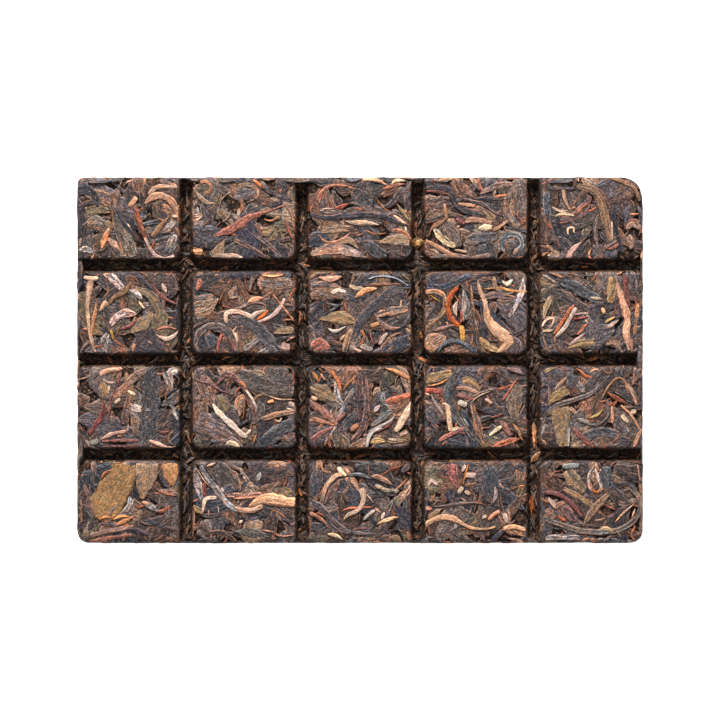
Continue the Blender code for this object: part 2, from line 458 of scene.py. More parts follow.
TORN_OFF = (0.7, 0.95, 1.0, 0.95, 0.8)  # along a piece that is torn off at both ends
TAPERED = (1.0, 0.95, 0.85, 0.5, 0.1)  # along a piece that is torn off at its start alone
BLUNT = (0.25, 0.9, 1.0, 0.9, 0.25)
PLACED_RISE = 0.0006  # in mm, how much higher each placed leaf lies than the one before
LIGHTER_OR_DARKER = (-0.7, 0.6)
WARMER_OR_COOLER = (0.93, 1.06)
SPENT = (
    "middle", "heading", "along", "rim_number", "out", "home", "half_width", "level", "roll", "thick",
    "to_end",
)  # what is stored on a leaf only while it is pressed


def even_places(count, start):
    """Places spread evenly over the brick, never in rows."""
    for number in range(start, start + count):
        across = (0.5 + number / PLASTIC_NUMBER) % 1 - 0.5
        along = (0.5 + number / PLASTIC_NUMBER ** 2) % 1 - 0.5
        yield across * LENGTH, along * WIDTH


def flow(x, y, layer):
    """The way that leaves lie near a place: it swirls from block to block."""
    return 2 * math.tau * noise.noise(Vector((x * FLOW_SCALE, y * FLOW_SCALE, layer)))


def varied(draw, colour):
    """A colour a little lighter or darker, warmer or cooler."""
    shade = 2 ** draw.uniform(*LIGHTER_OR_DARKER)
    warm = draw.uniform(*WARMER_OR_COOLER)
    return (colour[0] * shade * warm, colour[1] * shade, colour[2] * shade / warm, 1.0)


def bent_route(x, y, heading, length, bend, sway, step):
    """A bent line of places through the middle of a leaf."""
    steps = max(4, round(length / step))
    places = []
    place = Vector((0.0, 0.0))
    for number in range(steps + 1):
        places.append(place.copy())
        share = number / steps - 0.5
        turn = heading + bend * share + sway * math.sin(math.tau * share)
        place = place + Vector((math.cos(turn), math.sin(turn))) * (length / steps)
    middle = places[len(places) // 2]
    return [(x + p.x - middle.x, y + p.y - middle.y, 0.0) for p in places]


def photo_route(pixels, step):
    """A smooth line of places through pixels of the straight-down photograph."""
    scale = PICTURE_WIDTH / PHOTO_WIDTH
    knots = [Vector(((column - BRICK_COLUMN) * scale, (BRICK_ROW - row) * scale)) for column, row in pixels]
    knots = [2 * knots[0] - knots[1]] + knots + [2 * knots[-1] - knots[-2]]
    places = []
    for before, start, end, after in zip(knots, knots[1:], knots[2:], knots[3:]):
        steps = max(2, round((end - start).length / step))
        for number in range(steps):
            t = number / steps
            curved = (
                2 * start + (end - before) * t
                + (2 * before - 5 * start + 4 * end - after) * t ** 2
                + (3 * start - before - 3 * end + after) * t ** 3
            )
            places.append(curved / 2)
    places.append(knots[-2])
    return [(p.x, p.y, 0.0) for p in places]


class Spread:
    """Leaves waiting to be pressed: their routes and what each is like, for one mesh of edges."""

    def __init__(self, seed, step=LEAF_STEP):
        self.draw = random.Random(seed)
        self.step = step
        self.places = []
        self.edges = []
        self.values = {"half_width": [], "level": [], "roll": [], "own": [], "thick": [], "to_end": []}
        self.outs = []
        self.homes = []
        self.colours = []

    def lay(self, route, half_width, level, thick, colour, widths=BLUNT, roll=0.2, outs=None):
        """Adds one leaf. Its widths are shares of the half width, evenly along it, straight between."""
        first = len(self.places)
        own = self.draw.uniform(0.0, 100.0)
        lean = self.draw.uniform(-roll, roll)
        home = route[len(route) // 2]
        length = sum(math.dist(here, there) for here, there in zip(route, route[1:]))
        for number, place in enumerate(route):
            share = number / (len(route) - 1)
            self.places.append(place)
            spot = share * (len(widths) - 1)
            before = min(int(spot), len(widths) - 2)
            width = widths[before] + (widths[before + 1] - widths[before]) * (spot - before)
            self.values["half_width"].append(half_width * width)
            self.values["level"].append(level - thick * abs(2 * share - 1) ** 8)
            self.values["roll"].append(lean * thick)
            self.values["own"].append(own)
            self.values["thick"].append(thick)
            self.values["to_end"].append(length * min(share, 1 - share))
            self.outs.append(outs[number] if outs else (0.0, 0.0, 1.0))
            self.homes.append(home)
            self.colours.append(colour)
        self.edges += [(number, number + 1) for number in range(first, len(self.places) - 1)]

    def torn_widths(self):
        """The widths in turn of a torn leaf: its ends come to a point or are cut off."""
        draw = self.draw
        ends = (draw.uniform(0.03, 0.7), draw.uniform(0.03, 0.7))
        return (ends[0], draw.uniform(0.55, 1.0), 1.0, draw.uniform(0.55, 1.0), ends[1])

    def scatter(self, count, start, half_widths, lengths, levels, thicks, palette, bend, wander):
        """Leaves spread evenly over the brick, each lying roughly the way that its neighbours lie."""
        draw = self.draw
        layer = draw.uniform(0.0, 9.0)
        for x, y in even_places(count, start):
            heading = flow(x, y, layer) + draw.gauss(0.0, wander)
            length = draw.uniform(*lengths) * MM
            curve = draw.gauss(0.0, bend)
            sway = draw.gauss(0.0, bend / 3)
            route = bent_route(x, y, heading, length, curve, sway, self.step)
            colour = draw.choices([c for _, c in palette], [w for w, _ in palette])[0]
            half_width = draw.uniform(*half_widths) * MM
            level = draw.uniform(*levels) * MM
            thick = draw.uniform(*thicks) * MM
            shade = varied(draw, colour)
            self.lay(route, half_width, level, thick, shade, self.torn_widths())

    def place(self, kept, level, thick, widths=POINTED):
        """Named leaves: colour, half width in mm, pixels of the photograph that the middle runs
        through, and for some the widths in turn. They were placed on it and their colours
        tuned to it by measure. Not all were checked against it, and some are doubtful."""
        for number, (colour, half_width, pixels, *own_widths) in enumerate(kept.values()):
            rise = (level + PLACED_RISE * number) * MM
            route = photo_route(pixels, self.step)
            named = own_widths[0] if own_widths else widths
            self.lay(route, half_width * MM, rise, thick * MM, colour, named, roll=0.1)

    def mesh(self, name):
        made = bpy.data.meshes.new(name)
        made.from_pydata(self.places, self.edges, [])
        for key, values in self.values.items():
            made.attributes.new(key, "FLOAT", "POINT").data.foreach_set("value", values)
        for key, vectors in (("out", self.outs), ("home", self.homes)):
            flat = [number for vector in vectors for number in vector]
            made.attributes.new(key, "FLOAT_VECTOR", "POINT").data.foreach_set("vector", flat)
        flat = [number for colour in self.colours for number in colour]
        made.attributes.new("leaf_colour", "FLOAT_COLOR", "POINT").data.foreach_set("color", flat)
        return made


def kept_on_block(nodes, x, y, share):
    """Holds a leaf to the block that its middle lies on: past the lip it runs down the wall."""
    home_x, home_y, _ = nodes.split(nodes.attribute("home", "FLOAT_VECTOR"))
    block_x = (home_x / COLUMN_PITCH).math("ROUND").held(-(COLUMNS - 1) / 2, (COLUMNS - 1) / 2) * COLUMN_PITCH
    block_y = ((home_y / ROW_PITCH).math("FLOOR") + 0.5).held(-(ROWS - 1) / 2, (ROWS - 1) / 2) * ROW_PITCH
    u = x.held(-FAR_COLUMN, FAR_COLUMN) - block_x
    v = y.held(-FAR_ROW, FAR_ROW) - block_y
    core_u, core_v, out_u, out_v, reach = lip_reach(u, v)
    past = (reach - BLOCK_CORNER).at_least(0.0)
    furthest = BLOCK_CORNER + WALL_RUN * WALL_END
    kept = (reach.at_most(BLOCK_CORNER) + past * WALL_SQUEEZE).at_most(furthest) / reach
    new_x = x + (u.sign() * (core_u + out_u * kept) - u) * share
    new_y = y + (v.sign() * (core_v + out_v * kept) - v) * share
    return new_x, new_y


def leaf_tree(lies_on):
    """Sweeps each route into a flattened leaf and presses it on the brick's top, underside or wall."""
    inputs = [
        ("Points across", "NodeSocketInt", 7),
        ("Crown", "NodeSocketFloat", 4.0),
        ("Ridge height", "NodeSocketFloat", 0.05 * MM),
        ("Ridges", "NodeSocketFloat", 2.0),
        ("Crease height", "NodeSocketFloat", 0.1 * MM),
        ("Creases per metre", "NodeSocketFloat", 350.0),
        ("Ragged", "NodeSocketFloat", 0.35),
        ("Kept on block", "NodeSocketFloat", 1.0),
        ("Material", "NodeSocketMaterial", None),
    ]
    nodes, given = geometry_tree("press_leaves_on_" + lies_on, inputs)
    routes = nodes.add("GeometryNodeMeshToCurve", feeds=[given])
    routes = nodes.stored(routes, "middle", nodes.add("GeometryNodeInputPosition"), "FLOAT_VECTOR")
    routes = nodes.stored(routes, "heading", nodes.add("GeometryNodeInputTangent"), "FLOAT_VECTOR")
    routes = nodes.stored(routes, "along", nodes.add("GeometryNodeSplineParameter", outlet="Length"))
    points = given.outlet("Points across")
    rim = nodes.add("GeometryNodeMeshCircle", feeds={"Vertices": points + UNDER_POINTS, "Radius": 1 * MM})
    rim = nodes.stored(rim, "rim_number", nodes.add("GeometryNodeInputIndex"))
    rim = nodes.add("GeometryNodeMeshToCurve", feeds=[rim])
    swept = {"Curve": routes, "Profile Curve": rim, "Fill Caps": True}
    sheet = nodes.add("GeometryNodeCurveToMesh", feeds=swept)

    number = nodes.attribute("rim_number")
    upper = 1 - number.over(points - 0.5)
    across_upper = number * 2 / (points - 1) - 1
    across_lower = UNDER_REACH - (number - points) * UNDER_REACH
    across = across_upper * upper + across_lower * (1 - upper)
    along = nodes.attribute("along")
    own = nodes.attribute("own")
    ragged_place = nodes.joined(along * RAGS_PER_METRE, across.sign(), own)
    ragged = (nodes.noise(ragged_place, 1.0, detail=2.0) - 0.5) * 2 * given.outlet("Ragged")
    half_width = nodes.attribute("half_width") * (1 + ragged)
    lateral = across * half_width

    thick = nodes.attribute("thick")
    crown = abs(across) ** given.outlet("Crown")
    rise = nodes.attribute("level") - thick * crown * upper - thick * 2 * (1 - upper)
    ridge = (across * math.pi * given.outlet("Ridges") + own).math("COSINE") * given.outlet("Ridge height")
    crease_place = nodes.joined(along * given.outlet("Creases per metre"), lateral * CREASES_ACROSS, own)
    crease = (nodes.noise(crease_place, 1.0, detail=1.0) - 0.5) * given.outlet("Crease height") * 2
    rise = rise + nodes.attribute("roll") * across + (ridge + crease) * upper

    middle = nodes.attribute("middle", "FLOAT_VECTOR")
    heading = nodes.attribute("heading", "FLOAT_VECTOR")
    out = nodes.attribute("out", "FLOAT_VECTOR")
    sideways = nodes.vector("NORMALIZE", nodes.vector("CROSS_PRODUCT", out, heading))
    spot = nodes.vector("ADD", middle, nodes.scaled(sideways, lateral))
    x, y, z = nodes.split(spot)
    deep = 0.0
    rubbed = 0.0
    if lies_on == "wall":
        from_face = z.at_most(THICKNESS - z)
        spot = nodes.vector("ADD", spot, nodes.scaled(out, rise - edge_drop(from_face)))
        x, y, z = nodes.split(spot)
    elif lies_on == "underside":
        x, y, edge = outline_held(nodes, x, y, thick * 0.5)
        z = edge_drop(edge) + UNDERSIDE_LEVEL - rise
    else:
        x, y = kept_on_block(nodes, x, y, given.outlet("Kept on block"))
        x, y, edge = outline_held(nodes, x, y, thick * 0.5)
        depth, past = groove_depth(x, y, edge)
        z = THICKNESS - depth - edge_drop(edge) + rise
        deep = depth / GROOVE_DEPTH
        # A painted highlight: leaf near the lip of every block is made paler.
        rubbed = past.ramped(-LIP_HIGHLIGHT_BAND, -LIP_HIGHLIGHT_BAND / 3) * edge.ramped(0.0, RIM)
    place = nodes.joined(x, y, z.held(0.0, TOP_LIMIT))
    pressed = nodes.add("GeometryNodeSetPosition", feeds={"Geometry": sheet, "Position": place})
    if lies_on != "underside":
        pressed = nodes.add("GeometryNodeFlipFaces", feeds=[pressed])
    pressed = nodes.stored(pressed, "grain", nodes.joined(along, lateral, own), "FLOAT_VECTOR")
    to_edge = (half_width - abs(lateral)).at_most(nodes.attribute("to_end")) / MM
    pressed = nodes.stored(pressed, "lie", nodes.joined(to_edge, deep, rise / MM), "FLOAT_VECTOR")
    pressed = nodes.stored(pressed, "rubbed", rubbed)
    for spent in SPENT:
        pressed = nodes.add("GeometryNodeRemoveAttribute", feeds={"Geometry": pressed, "Name": spent})
    nodes.close(pressed, given.outlet("Material"))
    return nodes.tree


LEAF_TREES = {lies_on: leaf_tree(lies_on) for lies_on in ("top", "underside", "wall")}
STREAK_GRAIN = (280.0, 1900.0, 1.0)  # how fine each marking is: along the leaf, across, leaf by leaf
NET_GRAIN = (1000.0, 1500.0, 1.0)
BROAD_GRAIN = (130.0, 220.0, 1.0)
PATCH_GRAIN = (420.0, 1100.0, 1.0)
GRIT_SCALE = 2600.0
# The colours of the torn edges and of the painted highlights on raised lines.
WARM_EDGE_AND_HIGHLIGHT = tint(232, 142, 84)
GREY_EDGE_AND_HIGHLIGHT = tint(196, 183, 178)
VEIN = tint(226, 158, 84)
# Painted shade in the gaps between leaves.
GAP_SHADE = tint(12, 9, 9)
# Painted shade: leaf on a groove's walls is darkened, and the floor a little less.
WALL_SHADE = (0.5, 0.6, 0.72)  # how much red, green and blue a leaf loses on a groove's wall
FLOOR_SHADE = 0.56
LEAF_BUMP = 0.5 * MM


def marking(nodes, grain, fineness, **settings):
    """Noise that runs with a leaf's grain."""
    return nodes.noise(nodes.vector("MULTIPLY", grain, fineness), 1.0, **settings)


def leaf_finish(
    name, streaks=5.0, netting=4.0, grains=4.6, warmth=3.0, lines=0.6, edges=0.75, creases=0.7, veins=0.0,
    gloss=0.25, rim=0.16,
):
    """Dry leaf in its own colour, with torn pale edges, painted shade in its creases, painted highlights on
    its raised lines, painted shade in the gaps round it and on the walls of the grooves, and a painted
    highlight along each block's lip. Streaks, netting and grains set how much light each marking gives or
    takes, warmth how far the colour turns, and lines, edges, creases and veins how strongly each is drawn.
    Rim is the width in mm of the painted shade that outlines each leaf; the torn edge lies just inside it."""
    made, nodes, shader = new_finish(name)
    own_colour = nodes.add("ShaderNodeAttribute", {"attribute_name": "leaf_colour"})
    grain = nodes.add("ShaderNodeAttribute", {"attribute_name": "grain"}, outlet="Vector")
    lie = nodes.add("ShaderNodeAttribute", {"attribute_name": "lie"}, outlet="Vector")
    to_edge, deep, rise = nodes.split(lie)
    place = nodes.add("ShaderNodeTexCoord", outlet="Object")
    streak = marking(nodes, grain, STREAK_GRAIN, detail=2.0, rough=0.6, warp=0.5)
    net = marking(nodes, grain, NET_GRAIN, detail=2.0, rough=0.6, warp=0.8)
    broad = marking(nodes, grain, BROAD_GRAIN, detail=1.0)
    grit = nodes.noise(place, GRIT_SCALE, detail=1.0, rough=0.6)
    patch = marking(nodes, grain, PATCH_GRAIN, detail=2.0, rough=0.6)
    stops = (streak - 0.5) * streaks + (net - 0.5) * netting + (grit - 0.5) * grains + (broad - 0.5) * 2.0
    light = nodes.add("ShaderNodeMath", {"operation": "POWER"}, [2.0, stops])
    warm = nodes.add("ShaderNodeMath", {"operation": "POWER"}, [2.0, (patch - 0.5) * warmth])
    colour = nodes.blend(1.0, own_colour, nodes.joined(light * warm, light, light / warm), "MULTIPLY")

    _, _, number = nodes.split(grain)
    kind = nodes.add("ShaderNodeTexWhiteNoise", {"noise_dimensions": "1D"}, {"W": number})
    edge_and_highlight_tint = nodes.blend(kind.ramped(0.35, 0.65), WARM_EDGE_AND_HIGHLIGHT, GREY_EDGE_AND_HIGHLIGHT)
    brighter = nodes.blend(0.35, nodes.scaled(own_colour, 3.0), edge_and_highlight_tint)
    # Painted highlights: the raised lines of wrinkles and folds are drawn in a paler copy of the leaf's
    # colour.
    wrinkle = (1 - abs(net - 0.57) * 12).held() * grit.ramped(0.42, 0.6)
    fold = (1 - abs(streak - 0.58) * 12).held() * net.ramped(0.42, 0.6)
    colour = nodes.blend(wrinkle.at_least(fold) * lines, colour, brighter)
    torn = to_edge.ramped(rim * 3.4, rim * 2.2) * patch.ramped(0.45, 0.52)
    colour = nodes.blend(torn * edges, colour, brighter)
    # Painted shade: the creases are drawn in a darker copy of the leaf's own colour.
    crease = (1 - abs(streak - 0.41) * 13).held().at_least((1 - abs(net - 0.39) * 13).held())
    colour = nodes.blend(crease * creases, colour, nodes.scaled(own_colour, 0.14))
    if veins:
        along, lateral, _ = nodes.split(grain)
        side_vein = ((along - abs(lateral) * 0.9) * 380.0).math("FRACT") - 0.5
        line = (1 - abs(side_vein) * 9).held().at_least((1 - abs(lateral) * 4000).held())
        colour = nodes.blend(line * veins * net.ramped(0.35, 0.5), colour, VEIN)
    # Painted shade: a dark line round each leaf where it meets its neighbours, in broken stretches, and leaf
    # that lies low under its neighbours drawn near black.
    outline = to_edge.ramped(rim * 1.7, rim * 0.5) * broad.ramped(0.36, 0.5)
    gap_shade = rise.ramped(-0.34, -0.5).at_least(outline)
    colour = nodes.blend(gap_shade * 0.92, colour, GAP_SHADE)
    # Painted shade in the grooves: the walls are darkened most, the floor less.
    wall = deep.ramped(0.02, 0.3) * (1 - deep.ramped(0.8, 1.0) * FLOOR_SHADE)
    # A painted highlight: leaf near each block's lip is made up to a fifth paler.
    rubbed = nodes.add("ShaderNodeAttribute", {"attribute_name": "rubbed"}, outlet="Fac")
    in_shade = nodes.joined(*(1 - wall * loss for loss in WALL_SHADE))
    painted_light_colour = nodes.scaled(nodes.blend(1.0, colour, in_shade, "MULTIPLY"), 1 + rubbed * 0.2)
    height = streak * 0.5 + net * 0.7 + grit * 0.2
    bump = nodes.add("ShaderNodeBump", feeds={"Strength": 1.0, "Distance": LEAF_BUMP, "Height": height})
    rough = 0.75 - net * 0.35
    dress(nodes, shader, base_color=painted_light_colour, normal=bump, roughness=rough, specular_ior_level=gloss)
    return made


def press(name, spread, finish, lies_on="top", **settings):
    """Presses a spread of leaves into one piece that rides with the brick."""
    values = {key.replace("_", " ").capitalize(): value for key, value in settings.items()}
    values["Material"] = finish
    piece = plain_piece(name, spread.mesh(name), LEAF_TREES[lies_on], values)
    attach(piece, "root")
    return piece


SLATE = tint(74, 65, 67)
SLATE_LEAVES = [
    (22, SLATE),
    (16, tint(86, 72, 67)),
    (14, tint(60, 50, 50)),
    (16, tint(48, 47, 55)),
    (10, tint(104, 87, 80)),
    (8, tint(136, 106, 84)),
    (7, tint(118, 80, 62)),
    (7, tint(98, 84, 64)),
]
# Spread.place says what these tables hold, and how far they can be relied on.
PLACED_SLATE = {
    "third_block_leaf": (
        tint(68, 67, 71), 1.6, [(354, 337), (359, 323), (369, 311), (383, 298), (395, 289), (404, 288)],
        TORN_OFF,
    ),
    "left_block_patch": (
        tint(70, 63, 64), 2.9, [(153, 371), (151, 395), (150, 420), (147, 446)], (0.8, 1.0, 0.9, 0.6),
    ),
    "dark_fold": (tint(60, 54, 58), 0.8, [(356, 370), (358, 395), (359, 416), (364, 432)]),
    "second_arch": (tint(76, 67, 69), 2.0, [(236, 321), (249, 322), (263, 334), (277, 352)], TORN_OFF),
    "second_disc": (tint(62, 61, 68), 1.9, [(207, 334), (213, 341), (219, 350)], (0.5, 1.0, 0.5)),
    "upper_sheet": (tint(88, 77, 71), 3.6, [(238, 372), (262, 383), (294, 384)], (0.4, 1.0, 0.95)),
    "lower_sheet": (tint(82, 75, 76), 2.3, [(261, 443), (278, 432), (295, 421)], (0.8, 1.0, 0.8)),
    "third_dark_patch": (tint(60, 56, 58), 1.9, [(365, 243), (374, 250), (386, 257)], (0.6, 1.0, 0.7)),
    "fourth_grey": (tint(100, 86, 80), 1.7, [(444, 223), (452, 233), (459, 247)], (0.5, 1.0, 0.5)),
    "fourth_blue": (tint(84, 80, 82), 1.7, [(464, 241), (479, 238), (497, 236)], TORN_OFF),
    "fifth_upright": (tint(90, 86, 90), 1.2, [(546, 191), (545, 203), (547, 216)], TORN_OFF),
    "right_dark": (tint(70, 68, 70), 1.6, [(560, 281), (578, 289), (599, 301)], TORN_OFF),
    "right_brown": (tint(80, 70, 68), 1.7, [(544, 289), (563, 297), (588, 312)], TORN_OFF),
    "fan_slate": (tint(72, 72, 76), 1.7, [(339, 434), (348, 422), (357, 410)], (0.5, 1.0, 0.5)),
    "grey_wedge": (tint(98, 97, 94), 1.2, [(370, 426), (382, 416), (395, 406)], (0.4, 1.0, 0.5)),
    "slate_river": (
        tint(76, 73, 73), 1.5,
        [(463, 367), (453, 377), (448, 388), (448, 399), (453, 411), (464, 424), (480, 447)],
        (0.5, 0.95, 1.0, 0.9, 0.85, 0.7, 0.35),
    ),
    "left_disc": (tint(74, 71, 75), 2.0, [(426, 407), (432, 415), (437, 424)], (0.5, 1.0, 0.5)),
    "high_disc": (tint(72, 72, 76), 1.4, [(565, 371), (570, 380), (565, 389)], (0.5, 1.0, 0.5)),
    "low_slate": (tint(80, 78, 80), 1.6, [(576, 441), (598, 431), (621, 436)], TORN_OFF),
    "low_black": (tint(58, 56, 60), 1.2, [(619, 439), (629, 442)], TORN_OFF),
    "front_dark": (tint(60, 58, 62), 1.2, [(139, 520), (153, 521), (166, 514)]),
    "front_slate": (tint(92, 83, 74), 1.4, [(233, 530), (253, 532), (272, 536)]),
    "arc_slate": (tint(68, 67, 72), 2.2, [(319, 468), (315, 482), (313, 497)], (0.6, 1.0, 0.6)),
    "high_slate": (tint(72, 72, 78), 2.6, [(487, 466), (490, 480), (487, 495)], (0.8, 1.0, 0.6)),
    "last_slate": (tint(72, 72, 76), 1.9, [(604, 465), (605, 477), (608, 488)], (0.7, 1.0, 0.6)),
}
slate_finish = leaf_finish(
    "slate_leaf", streaks=2.4, netting=3.4, warmth=1.7, lines=0.36, creases=0.4, rim=0.18,
)
slate = Spread(11)
slate.scatter(
    count=110, start=40000, half_widths=(3.0, 4.8), lengths=(9, 15), levels=(-0.34, -0.26),
    thicks=(0.12, 0.16), palette=SLATE_LEAVES, bend=0.5, wander=0.8,
)
slate.scatter(
    count=300, start=0, half_widths=(1.6, 4.4), lengths=(6, 16), levels=(-0.2, 0.04),
    thicks=(0.15, 0.23), palette=SLATE_LEAVES, bend=0.7, wander=0.8,
)
slate.place(PLACED_SLATE, level=0.08, thick=0.2)
press("slate_leaves", slate, slate_finish, points_across=11, crown=9.0, crease_height=0.08 * MM, ragged=0.5)


# Brown leaves
# Narrower opened leaf that fermented further, brown to tan, with torn edges and longer creases.
BROWN = tint(96, 68, 54)
BROWN_LEAVES = [
    (26, BROWN),
    (22, tint(78, 58, 50)),
    (16, tint(120, 86, 68)),
    (18, tint(64, 47, 41)),
    (8, tint(142, 106, 84)),
    (8, tint(96, 80, 62)),
]
PLACED_BROWN = {
    "curved_leaf": (
        tint(118, 92, 78), 1.75, [(523, 184), (512, 193), (507, 206), (509, 217), (517, 228)],
        (0.2, 0.9, 1.0, 1.0, 0.7),
    ),
    "first_oval": (tint(104, 86, 74), 1.9, [(86, 224), (97, 221), (108, 228)], (0.3, 1.0, 0.4)),
    "first_sheet": (
        tint(112, 94, 80), 2.7, [(115, 214), (120, 228), (126, 243), (131, 258)], (0.35, 0.6, 0.85, 1.0),
    ),
    "second_hook": (
        tint(156, 122, 98), 0.75, [(237, 187), (248, 185), (257, 190), (256, 198), (246, 203)], TAPERED,
    ),
    "second_ring": (
        tint(140, 96, 70), 0.65, [(199, 184), (205, 181), (211, 185), (210, 192), (203, 192)], TORN_OFF,
    ),
    "second_dark_edge": (
        tint(74, 56, 54), 0.7, [(222, 180), (243, 182), (258, 184), (274, 194), (293, 203)], TORN_OFF,
    ),
    "second_band_one": (tint(80, 62, 60), 0.8, [(233, 239), (248, 246), (266, 258)], TORN_OFF),
    "second_band_two": (tint(92, 70, 64), 0.7, [(249, 231), (262, 240), (281, 256)], TORN_OFF),
    "third_low_leaf": (
        tint(152, 118, 102), 1.7, [(309, 255), (328, 249), (346, 250), (367, 258)], (0.3, 0.9, 1.0, 0.2),
    ),
    "third_arc": (
        tint(108, 90, 84), 0.65,
        [(341, 207), (352, 203), (362, 206), (373, 212), (385, 215), (395, 213), (406, 222)],
    ),
    "fourth_top_lens": (tint(124, 95, 82), 1.15, [(477, 195), (490, 189), (503, 185), (517, 184)]),
    "fourth_lens": (tint(134, 108, 82), 1.1, [(482, 209), (488, 215), (494, 222)], (0.3, 1.0, 0.8)),
    "fourth_low_band": (
        tint(116, 86, 76), 0.85, [(427, 259), (449, 256), (470, 259), (492, 254)], TORN_OFF,
    ),
    "fifth_red_leaf": (
        tint(106, 73, 68), 1.5, [(552, 223), (569, 219), (583, 208), (589, 196)], (0.2, 0.7, 1.0, 0.5),
    ),
    "fifth_lobe": (tint(156, 116, 92), 1.1, [(624, 230), (632, 223), (639, 229)], (0.5, 1.0, 0.8)),
    "fifth_lobe_two": (tint(146, 108, 88), 1.2, [(627, 235), (631, 242), (628, 249)], (0.8, 1.0, 0.5)),
    "triangle": (tint(144, 110, 86), 3.1, [(193, 310), (205, 308), (219, 298)], (1.0, 0.85, 0.1)),
    "second_row_sheet": (tint(132, 106, 90), 1.7, [(257, 282), (273, 284), (292, 282)], (0.6, 1.0, 1.0)),
    "second_row_arch": (
        tint(106, 86, 78), 1.1, [(194, 345), (201, 331), (214, 325), (228, 330), (237, 346)], TORN_OFF,
    ),
    "second_row_wedge": (tint(112, 96, 88), 1.0, [(243, 350), (251, 345), (260, 338)], TORN_OFF),
    "striated_leaf": (tint(124, 94, 78), 2.6, [(310, 291), (326, 290), (345, 295)], (0.9, 1.0, 0.6)),
    "right_striated": (tint(150, 116, 96), 1.4, [(373, 316), (390, 311), (408, 308)], (0.4, 1.0, 0.8)),
    "red_patch": (tint(146, 88, 74), 1.8, [(311, 349), (320, 344), (330, 348)], (0.7, 1.0, 0.3)),
    "tan_upright": (tint(132, 106, 84), 0.8, [(344, 352), (347, 340), (351, 328)], TORN_OFF),
    "brown_hook": (
        tint(150, 112, 84), 0.85, [(423, 292), (435, 291), (443, 296), (445, 306), (439, 316), (427, 324)],
        TORN_OFF,
    ),
    "tan_patch": (tint(156, 114, 90), 2.5, [(424, 350), (432, 342), (446, 336)], (0.9, 1.0, 0.3)),
    "dark_lens": (tint(100, 80, 76), 1.1, [(477, 301), (493, 295), (517, 298)]),
    "right_patch": (tint(150, 118, 82), 1.7, [(612, 276), (611, 290), (608, 303)], (0.8, 1.0, 0.5)),
    "right_rod": (tint(160, 112, 80), 0.7, [(637, 302), (635, 318), (633, 336)], TORN_OFF),
    "left_strip": (tint(132, 94, 74), 1.3, [(115, 399), (124, 388), (135, 377), (147, 369)], TORN_OFF),
    "left_tall": (tint(116, 86, 76), 1.4, [(124, 424), (127, 408), (130, 393)], TAPERED),
    "left_oval": (tint(126, 92, 72), 1.35, [(133, 415), (136, 424), (137, 435)], (0.5, 1.0, 0.4)),
    "fan_sheet": (tint(116, 91, 83), 3.2, [(194, 420), (213, 428), (243, 446)], (1.0, 0.8, 0.1)),
    "second_rod": (tint(130, 100, 80), 0.8, [(260, 419), (277, 414), (296, 410)], TORN_OFF),
    "right_brown_sheet": (tint(120, 95, 78), 2.3, [(520, 384), (513, 401), (514, 419)], (0.6, 1.0, 0.5)),
    "rust_gloss": (tint(162, 82, 48), 0.95, [(489, 447), (504, 442), (521, 437)]),
    "high_right": (tint(104, 82, 77), 1.4, [(638, 366), (635, 376), (630, 386)], TAPERED),
    "right_strands": (tint(140, 106, 80), 0.7, [(626, 382), (632, 393), (637, 405)], TORN_OFF),
    "left_column": (tint(116, 81, 72), 0.7, [(84, 482), (89, 498), (94, 516)], TORN_OFF),
    "arc_leaf": (tint(126, 95, 84), 1.1, [(325, 504), (331, 491), (341, 478)]),
    "front_rod": (tint(166, 111, 86), 0.9, [(223, 494), (241, 495), (262, 494)], TORN_OFF),
    "purple_band": (
        tint(100, 78, 74), 1.1, [(309, 501), (320, 507), (331, 519), (342, 528), (358, 532), (378, 533)],
        TAPERED,
    ),
    "low_purple": (tint(100, 75, 71), 1.0, [(389, 509), (385, 519), (379, 529)], TORN_OFF),
    "rusty_oval": (tint(136, 80, 72), 2.0, [(450, 463), (452, 475), (458, 488)], (0.9, 1.0, 0.15)),
    "left_olive_oval": (tint(126, 101, 77), 1.0, [(427, 518), (434, 512), (442, 507)]),
    "last_tan": (tint(142, 112, 84), 2.1, [(566, 469), (573, 480), (583, 491)], (0.7, 1.0, 0.6)),
    "last_purple": (tint(110, 80, 78), 1.5, [(560, 506), (567, 512), (574, 521)], (0.5, 1.0, 0.5)),
    "front_corner_arc": (
        tint(102, 93, 86), 0.85,
        [
            (539, 516), (558, 523), (576, 529), (596, 531), (616, 529), (630, 522), (638, 509),
            (637, 496), (629, 488),
        ],
        TORN_OFF,
    ),
}
brown_finish = leaf_finish("brown_leaf", streaks=4.0, netting=3.4, lines=0.38, creases=0.45, rim=0.16)
brown = Spread(12)
brown.scatter(
    count=230, start=3000, half_widths=(0.9, 2.8), lengths=(6, 15), levels=(-0.16, 0.05),
    thicks=(0.14, 0.22), palette=BROWN_LEAVES, bend=0.8, wander=0.7,
)
brown.place(PLACED_BROWN, level=0.1, thick=0.2)
press("brown_leaves", brown, brown_finish, points_across=10, crown=7.0, crease_height=0.08 * MM, ragged=0.5)


